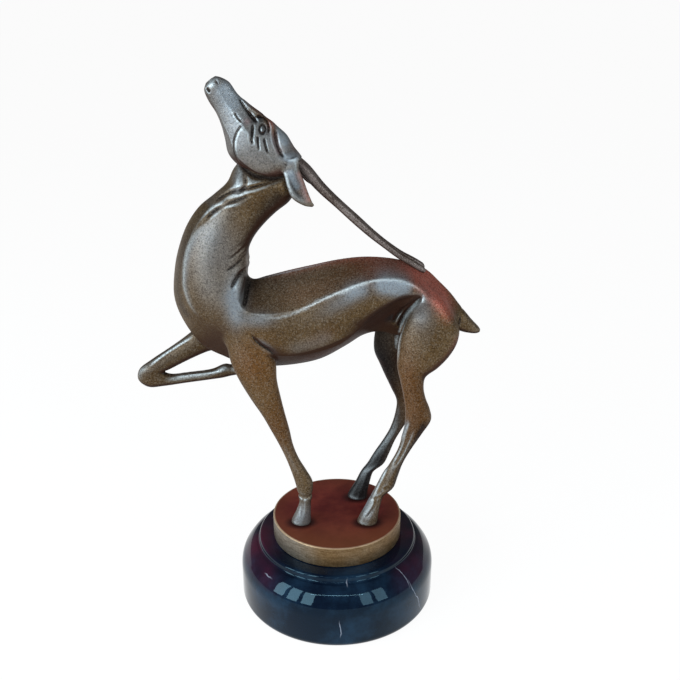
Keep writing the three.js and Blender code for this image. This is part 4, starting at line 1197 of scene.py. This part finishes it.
def patina(name, low, high):
    paint = Paint(name)
    cloud = paint.noise(45.0, 3.0, 0.55).between(0.35, 0.68)
    grain = paint.noise(grit, 2.0, 0.7)
    pale = paint.noise(1150.0, 2.0, 0.8).between(0.5, 0.62)
    dark = paint.noise(1280.0, 2.0, 0.8).between(0.5, 0.62)
    # Painted sheen: what faces ahead to the left and up, towards the left window, is brightened
    painted_sheen_side = paint.facing(ahead_left).between(0.80, 1.0)
    # Painted shade: what faces down is darkened to a reddish black
    down = paint.facing(underneath).between(0.04, 0.34)
    silver, shade = paint.attribute("silver"), paint.attribute("shade")
    crest = paint.attribute("crest").between(0.12, 0.5)
    hollow = paint.attribute("hollow").between(0.05, 0.4)
    colour = paint.mix(cloud, low, high)
    for share, tint in (
        (paint.attribute("golden"), (0.138, 0.060, 0.018)),
        # painted shade on top-facing surfaces, a dull brown
        (paint.facing().between(0.5, 0.95) * 0.7, (0.058, 0.028, 0.014)),  # dull on top
        (paint.attribute("red"), (0.42, 0.115, 0.080)),
        # rubbed silver patina with painted sheen of the window light
        (silver, (0.200, 0.216, 0.236)),
        # painted bluish sheen on what faces the left window
        (painted_sheen_side * (0.05 + silver * 0.28), (0.34, 0.40, 0.46)),
        # painted shade, nearly black
        (shade, (0.014, 0.011, 0.011)),
        (hollow * 0.85, (0.012, 0.008, 0.007)),
        # painted highlight on crests that face the left window, over a little wear
        (crest * (0.05 + painted_sheen_side * 0.6), (0.55, 0.60, 0.62)),
        # edges worn bright, with a painted highlight along them
        (paint.attribute("edge") * 0.6, (0.70, 0.76, 0.78)),
        (pale * (0.16 - shade * 0.13), (0.46, 0.40, 0.33)),  # bright specks
    ):
        colour = paint.mix(share, colour, tint)
    colour = paint.mix(dark * (0.75 - silver * 0.35), colour, (0.30, 0.27, 0.25), "MULTIPLY")
    # painted shade on the undersides
    colour = paint.mix(down * 0.9, colour, (0.032, 0.013, 0.008))
    metal = (0.45 - shade * 0.2) * (1.0 - down)
    paint.set(Base_Color=colour, Metallic=metal, Roughness=0.30 + grain * 0.14)
    paint.set(Specular_IOR_Level=0.02)
    paint.bump(grain, 0.5, 0.0003)
    return paint.material


# %% [markdown]
# ## The plinth's finish
# The plinth's top is patinated oxblood red, deeper in patches and browner on the animal's left,
# and its side is bare, brushed by dusting to a golden brown that is greyer ahead. The rim between
# them is rubbed, with a painted bright highlight on it, and painted shade darkens the top round the
# hoofs. The direction that the surface faces tells top from side, and distances from the axis and
# from the hoofs find the rim and the painted shade. The brush marks are noise that is squeezed in
# height.

# %% The plinth's finish
def under_hoof(row, side, ahead=0.0):
    """The middle of a hoof, in millimetres, from the last row of its leg's table."""
    front, rear = row[:2]
    return (front[0] + rear[0] - 2 * ahead) / 2 * figure_length, middle + side * leg_spread / 2


hoof_places = [
    under_hoof(hind_leg_shares[-1], -1),
    under_hoof(hind_leg_shares[-1], 1, stride_shares[-1]),
    under_hoof(standing_foreleg_shares[-1], -1),
]
print("hoofs on the plinth at", [[round(c, 1) for c in spot] for spot in hoof_places])

# %% The bare side and the red top
def bare_side(paint, broad):
    brush_marks = paint.vector("MULTIPLY", paint.place, (240.0, 240.0, 1300.0))
    streak = paint.noise(1.0, 3.0, 0.6, at=brush_marks).between(0.42, 0.62)
    speck = paint.noise(1350.0, 3.0, 0.85).between(0.42, 0.58)
    behind = paint.along(0).between(-0.024, -0.006)
    side = paint.mix(broad, (0.245, 0.150, 0.070), (0.345, 0.250, 0.155))
    side = paint.mix((1.0 - behind) * 0.75, side, (0.265, 0.245, 0.215))
    side = paint.mix(streak * 0.6, side, (0.52, 0.46, 0.38), "MULTIPLY")
    return paint.mix(speck * 0.45, side, (0.24, 0.20, 0.17), "MULTIPLY")


def red_top(paint, grain, radius):
    cloud = paint.noise(60.0, 4.0, 0.6).between(0.35, 0.7)
    patch = paint.noise(28.0, 2.0, 0.5).between(0.4, 0.62)
    inward = paint.along(1).between(-0.032, 0.004)
    top = paint.mix(cloud, (0.118, 0.017, 0.016), (0.205, 0.038, 0.026))
    top = paint.mix(patch * 0.5, top, (0.095, 0.010, 0.018))
    top = paint.mix(grain.between(0.52, 0.66) * 0.35, top, (1.7, 1.6, 1.5), "MULTIPLY")
    top = paint.mix(radius.between(0.018, 0.036) * 0.4, top, (0.20, 0.056, 0.024))
    top = paint.mix((1.0 - inward) * 0.5, top, (0.185, 0.062, 0.024))
    # Painted shade round each hoof, where it stands on the top
    for x, y in hoof_places:
        offset = paint.vector("SUBTRACT", paint.place, (x * MM, y * MM, 0.0))
        away = paint.vector("LENGTH", paint.vector("MULTIPLY", offset, (0.72, 1.0, 0.0)))
        top = paint.mix((1.0 - away.between(0.0038, 0.0075)) * 0.8, top, (0.016, 0.006, 0.007))
    return top


# %% The whole plinth
def aged_plinth():
    paint = Paint("plinth patina")
    up = paint.facing().between(0.5, 0.95)
    grain = paint.noise(grit, 2.0, 0.7)
    broad = paint.noise(55.0, 3.0, 0.5).between(0.30, 0.70)
    radius = paint.vector("LENGTH", paint.vector("MULTIPLY", paint.place, (1.0, 1.0, 0.0)))
    # Painted highlight on the rounded rim, over metal rubbed bright
    rim_highlight = radius.between(0.0338, 0.0345) * paint.facing().between(0.1, 0.4)
    colour = paint.mix(up, bare_side(paint, broad), red_top(paint, grain, radius))
    colour = paint.mix(rim_highlight * (0.45 + broad * 0.5), colour, (0.52, 0.36, 0.23))
    paint.set(Base_Color=colour, Metallic=0.75 - up * 0.65, Roughness=0.40 + grain * 0.15)
    paint.set(Specular_IOR_Level=0.1)
    paint.bump(grain, 0.3, 0.0002)
    return paint.material


# %% [markdown]
# ## The marble's finish
# The stone is black marble, polished: nearly black with blue clouds, with a painted wine-red
# reflection on its upward faces ahead and behind, and crossed by a few hair-fine white veins. Each
# vein is a thin slice of a plane, bent by noise and faded out by the distance from its centre, so it
# goes through the stone as a real vein does. A row of the table has the vein's centre in
# millimetres, the direction across its plane and its reach. A vein pattern all over from a Voronoi
# texture looked like crazed glaze.

# %% The marble's finish
veins = [
    ((35.2, -33.4, 32.3), (-0.62, -0.77, -0.13), 8.0),
    ((42.4, -32.0, 18.5), (-0.58, -0.72, -0.37), 15.0),
    ((5.0, -41.0, 32.8), (-0.99, -0.08, 0.07), 5.0),
    ((-35.7, -31.8, 31.0), (-0.43, -0.43, -0.79), 4.0),
    ((1.7, -53.0, 14.0), (0.98, 0.17, 0.05), 6.0),
    ((-19.3, -34.0, 33.0), (0.8, 0.5, 0.3), 4.0),
    ((-30.0, 40.0, 28.0), (0.7, 0.6, 0.4), 16.0),
    ((24.0, 46.0, 22.0), (0.9, -0.3, 0.3), 14.0),
    ((-52.0, 4.0, 18.0), (0.1, 0.8, 0.6), 13.0),
]
print(len(veins), "veins in the marble")


def black_marble():
    paint = Paint("black marble")
    cloud = paint.noise(34.0, 5.0, 0.65).between(0.42, 0.72)
    x = paint.along(0)
    at_the_ends = (x * x).between(0.0006, 0.0018)
    # Painted wine-red reflection on the upward faces at both ends
    painted_wine_reflection = at_the_ends * paint.facing().between(0.2, 0.9) * paint.noise(30.0, 2.0).between(0.3, 0.6)
    colour = paint.mix(cloud, (0.002, 0.005, 0.014), (0.010, 0.028, 0.056))
    colour = paint.mix(painted_wine_reflection * 0.85, colour, (0.065, 0.007, 0.020))
    place_mm = paint.vector("MULTIPLY", paint.place, (1 / MM, 1 / MM, 1 / MM))
    bent = paint.vector("ADD", place_mm, paint.drift(95.0, 5.0))
    for centre, across, reach in veins:
        offset = paint.vector("SUBTRACT", bent, centre)
        off_plane = paint.vector("DOT_PRODUCT", offset, across)
        near = 1.0 - paint.vector("LENGTH", offset).between(reach * 0.4, reach)
        thin = (1.0 - (off_plane * off_plane).between(0.0, 0.12)) * near
        colour = paint.mix(thin * 0.65, colour, (0.36, 0.38, 0.46))
    paint.set(Base_Color=colour, Roughness=0.04)
    paint.set(Specular_IOR_Level=0.21, Specular_Tint=(0.50, 0.84, 1.0, 1.0))
    return paint.material


# %% [markdown]
# ## Fittings
# Felt, dowels, stud, nut, washers and screws sit inside and underneath. Felt is matt and fibrous,
# rods are as drawn, and the steel is zinc plated with a faint bloom. One function serves all
# three, with grain in the colour, in the roughness and in the bump.

# %% Finishes of the fittings
def plain(name, colour, roughness, metallic, scale, rough):
    paint = Paint(name)
    grain = paint.noise(scale, 3.0)
    bloom = paint.noise(scale / 6, 2.0).between(0.4, 0.65)
    shown = paint.mix(grain, colour, [c * 0.7 for c in colour])
    shown = paint.mix(bloom * 0.4, shown, [c * 0.8 for c in colour])
    paint.set(Base_Color=shown, Roughness=roughness + grain * 0.1, Metallic=metallic)
    paint.bump(grain, 0.6, rough)
    return paint.material


steel_material = plain("zinc plated steel", (0.55, 0.56, 0.58), 0.32, 1.0, 900.0, 0.00002)
felt_material = plain("felt", (0.012, 0.014, 0.018), 0.88, 0.0, 1500.0, 0.0003)
dowel_material = plain("bronze rod", (0.45, 0.3, 0.13), 0.36, 1.0, 900.0, 0.00003)
finish_of = {
    "felt_pad": felt_material, "neck_dowel": dowel_material, "head_dowel": dowel_material,
    "shoulder_dowel": dowel_material, "hip_dowel": dowel_material,
}
for name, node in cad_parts.items():
    node.data.materials.clear()
    node.data.materials.append(finish_of.get(name, steel_material))
print(len(finish_of), "fittings in felt or bronze, the others in steel")

# %% Finishes of the castings and the stone
body_patina = patina("brown patina", (0.088, 0.051, 0.022), (0.126, 0.079, 0.038))
horn_patina = patina("horn patina", (0.100, 0.072, 0.062), (0.190, 0.152, 0.140))
for piece, finish in (
    (body_object, body_patina), (head_object, body_patina),
    (marble_object, black_marble()), (plinth_object, aged_plinth()),
):
    piece.data.materials.append(finish)
    print(piece.name, "wears", finish.name)

# %% [markdown]
# ## Horns and thread by Geometry Nodes
# A horn follows a rule: a round bar swept along one line, thinner towards its tip, and flattened
# where it lies against its neighbour. A node tree says that rule once, with its sizes as inputs,
# and both horns and the stud's thread come from it. A Bevel on a curve object could taper as well,
# but couldn't flatten one side. The line is a chain of edges, whose points carry their share of
# the thickness. The tree ends in Realize Instances and Set Material, and its result becomes a
# plain mesh.

# %% A tree that sweeps a bar along a line
def sweep_tree(name, flat_side):
    """Sweeps a bar along a chain of edges. A flat side of -1 or 1 keeps it on that side of Flat At."""
    tree = bpy.data.node_groups.new(name, "GeometryNodeTree")
    tree.interface.new_socket("Geometry", in_out="OUTPUT", socket_type="NodeSocketGeometry")
    kinds = {"Thickness": "Float", "Sides": "Int", "Flat At": "Float", "Finish": "Material"}
    for label, kind in {"Geometry": "Geometry", **kinds}.items():
        tree.interface.new_socket(label, in_out="INPUT", socket_type="NodeSocket" + kind)
    given = tree.nodes.new("NodeGroupInput").outputs

    def node(kind, settings, output, **links):
        made = tree.nodes.new(kind)
        for key, value in settings.items():
            setattr(made, key, value)
        for key, value in links.items():
            socket = made.inputs[int(key[1:]) if key[1:].isdigit() else key.replace("_", " ")]
            if isinstance(value, bpy.types.NodeSocket):
                tree.links.new(value, socket)
            else:
                socket.default_value = value
        return made.outputs[output]

    share = node("GeometryNodeInputNamedAttribute", {"data_type": "FLOAT"}, 0, Name="share")
    times = {"operation": "MULTIPLY"}
    full = node("ShaderNodeMath", times, 0, _0=share, _1=given["Thickness"])
    radius = node("ShaderNodeMath", times, 0, _0=full, _1=0.5)
    line = node("GeometryNodeMeshToCurve", {}, 0, Mesh=given["Geometry"])
    section = node("GeometryNodeCurvePrimitiveCircle", {}, 0, Resolution=given["Sides"], Radius=1.0)
    ends = {"Scale": radius, "Fill_Caps": True}
    bar = node("GeometryNodeCurveToMesh", {}, 0, Curve=line, Profile_Curve=section, **ends)
    if flat_side:
        position = node("GeometryNodeInputPosition", {}, 0)
        x, y, z = (node("ShaderNodeSeparateXYZ", {}, axis, Vector=position) for axis in range(3))
        limit = {"operation": "MAXIMUM" if flat_side > 0 else "MINIMUM"}
        kept = node("ShaderNodeMath", limit, 0, _0=y, _1=given["Flat At"])
        moved = node("ShaderNodeCombineXYZ", {}, 0, X=x, Y=kept, Z=z)
        bar = node("GeometryNodeSetPosition", {}, 0, Geometry=bar, Position=moved)
    bar = node("GeometryNodeRealizeInstances", {}, 0, Geometry=bar)
    bar = node("GeometryNodeSetMaterial", {}, 0, Geometry=bar, Material=given["Finish"])
    tree.links.new(bar, tree.nodes.new("NodeGroupOutput").inputs[0])
    return tree


# %% Sweeping one line
def sweep(name, line, shares, thickness, sides, finish, flat_side=0, flat_at=0.0):
    """A swept bar as a plain mesh object, from a line and a thickness in millimetres."""
    obj = new_object(name, line, [])
    obj.data.edges.add(len(line) - 1)
    obj.data.edges.foreach_set("vertices", [k + step for k in range(len(line) - 1) for step in (0, 1)])
    write_attribute(obj, "share", shares)
    tree = sweep_tree(name + " tree", flat_side)
    modifier = obj.modifiers.new("sweep", "NODES")
    modifier.node_group = tree
    values = {"Thickness": thickness * MM, "Sides": sides, "Flat At": flat_at * MM, "Finish": finish}
    for socket in tree.interface.items_tree:
        if socket.in_out == "INPUT" and socket.name in values:
            modifier[socket.identifier] = values[socket.name]
    plain_mesh(obj)
    obj.data.calc_loop_triangles()
    triangles = np.array([tuple(t.vertices) for t in obj.data.loop_triangles])
    if outward(points_of(obj), triangles) is not triangles:
        obj.data.flip_normals()
    obj.data.shade_smooth()
    size = np.ptp(points_of(obj), axis=0)
    print(name, len(triangles), "triangles,", size.round(1).tolist(), "mm")
    return obj


# %% The two horns
horn_steps, horn_sides = 8, 24


def horn(side, name):
    centres = [place(row[:2], side * row[3] * horn_spacing / 2) for row in horn_shares]
    shares = rail([(row[2], 0, 0) for row in horn_shares], horn_steps)[:, 0]
    flat_at = middle + side * horn_gap / 2
    line = rail(centres, horn_steps)
    return sweep(name, line, shares, horn_thickness, horn_sides, horn_patina, side, flat_at)


horn_objects = [horn(-1, "left_horn_sweep"), horn(1, "right_horn_sweep")]

# %% The stud's thread
stud_low, stud_high = (np.array(corner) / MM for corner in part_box("base_stud"))
stud_radius = (stud_high[0] - stud_low[0]) / 2
stud_middle = (stud_low + stud_high) / 2
pitch, thread_turns, thread_steps = 1.0, 14, 20
thread_thickness, thread_sides, sunk, lead_in = 0.6, 6, 0.15, 0.6
angles = np.arange(thread_turns * thread_steps + 1) * 2 * math.pi / thread_steps
thread_line = np.stack([
    stud_middle[0] + (stud_radius - sunk) * np.cos(angles),
    stud_middle[1] + (stud_radius - sunk) * np.sin(angles),
    stud_low[2] + lead_in + angles / (2 * math.pi) * pitch,
], axis=1)
thread_shares = np.clip(np.minimum(angles, angles[::-1]) / math.pi, 0.2, 1)
thread_object = sweep(
    "stud_thread", thread_line, thread_shares, thread_thickness, thread_sides, steel_material
)

# %% [markdown]
# ## Tying the pieces to the frame
# The whole statuette is one body. Each skin stands for the castings below it, which stay in the
# frame for the physics and are hidden here.

# %% Tie the pieces to the frame
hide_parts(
    "torso", "neck", "tail",
    "left_hindleg", "right_hindleg", "standing_foreleg", "raised_foreleg",
)
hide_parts("head", "left_ear", "right_ear")
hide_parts("marble_base")
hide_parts("plinth")
for piece, name in zip(horn_objects, ("left_horn", "right_horn")):
    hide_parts(name)
for piece, slot in [
    (body_object, "bronze"), (head_object, "bronze"),
    (horn_objects[0], "bronze"), (horn_objects[1], "bronze"),
    (marble_object, "black_marble"), (plinth_object, "plinth_bronze"), (thread_object, "steel"),
]:
    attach(piece, "root")
    print(piece.name, "rides on the root, in", slot)

# %% [markdown]
# ## The floor and the room
# The statuette is shown on plain white. A bright floor would throw its light back up and wash out
# the bronze, so the floor is white only to the camera and to reflections, by its Light Path, and
# keeps the shadow. The world stays dim, so that the lamps draw the form.

# %% What sees a white floor
def seen(paint):
    """1 for what the camera and the reflections see, 0 for the light on the object."""
    total = 0.0
    for ray in ("Is Camera Ray", "Is Glossy Ray", "Is Transmission Ray"):
        share = paint.node("ShaderNodeLightPath", {}, output=ray)
        total = paint.node("ShaderNodeMath", {"operation": "ADD", "use_clamp": True}, total, share)
    return total


# %% Floor
span = 40000
corners = [(-span, -span, 0), (span, -span, 0), (span, span, 0), (-span, span, 0)]
floor = new_object("floor", corners, [(0, 1, 2, 3)])
paint = Paint("pale floor")
paint.set(Base_Color=(0.9, 0.9, 0.9, 1), Roughness=1.0, Specular_IOR_Level=0.0)
white = paint.node("ShaderNodeEmission", {}, Strength=1.05)
matt = Value(paint, paint.surface.outputs[0])
shown = paint.node("ShaderNodeMixShader", {}, seen(paint) * 0.9, matt, white)
paint.feed(paint.output.inputs["Surface"], shown)
floor.data.materials.append(paint.material)
print("floor of", 2 * span * MM, "metres")

# %% Room light
world = bpy.data.worlds.new("studio")
bpy.context.scene.world = world
world.use_nodes = True
background = world.node_tree.nodes["Background"]
background.inputs["Color"].default_value = (1, 1, 1, 1)
background.inputs["Strength"].default_value = 0.2
print("room light of strength", round(background.inputs["Strength"].default_value, 2))

# %% [markdown]
# ## Lamps
# Polished metal shows the room it stands in, and here the light is that of windows: three tall
# panes before the left shoulder, two weaker ones behind the left haunch, and one thin bright line
# above, which draws the highlights along the crests. Panes that are apart leave bars between them
# in the marble's reflection, which a single big softbox would not.

# %% Soft lamps
daylight = (0.80, 0.93, 1.0)
pane_size, pane_spacing, pane_aim = (0.22, 0.56), 17, (0, 0, 0.15)


def softbox(name, spot, aim, size, power):
    lamp = bpy.data.lights.new(name, "AREA")
    lamp.shape = "RECTANGLE"
    lamp.size, lamp.size_y = size
    lamp.energy = power
    lamp.color = daylight
    obj = bpy.data.objects.new(name, lamp)
    bpy.context.scene.collection.objects.link(obj)
    obj.location = spot
    obj.rotation_euler = (Vector(aim) - Vector(spot)).to_track_quat("-Z", "Y").to_euler()


def windows(name, azimuth, height, panes, power):
    """Upright panes of light side by side, that many degrees round from the figure's left side."""
    for k in range(panes):
        angle = math.radians(azimuth + pane_spacing * (k - (panes - 1) / 2))
        softbox(f"{name} {k}", (math.sin(angle), -math.cos(angle), height), pane_aim, pane_size, power)
    print(name, "has", panes, "panes of", power, "watts")


windows("left window", -50, 0.46, 3, 3.8)
windows("right window", 42, 0.46, 2, 2.1)
softbox("window head", (0, -1.0, 0.86), (0, 0, 0.1), (1.3, 0.010), 2.2)

# %% [markdown]
# ## Camera
# The camera is close and looks down, so the base is seen more from above than the head. Its place,
# tilt and focal length were fitted to the two round rims and to the hoofs on the plinth.

# %% Camera
tilt_down, focal_pixels, frame_pixels, sensor = 22.242, 900, 680, 36
camera_place = (0.00167, -0.42397, 0.32577)
lens = bpy.data.cameras.new("camera")
camera = bpy.data.objects.new("camera", lens)
bpy.context.scene.collection.objects.link(camera)
camera.location = camera_place
camera.rotation_euler = (math.radians(90 - tilt_down), 0, 0)
lens.lens = focal_pixels / frame_pixels * sensor
lens.sensor_width = sensor
lens.clip_start = 0.01
lens.clip_end = 200
bpy.context.scene.camera = camera
bpy.context.scene.view_settings.view_transform = "Standard"
print("lens", round(lens.lens, 1), "mm")
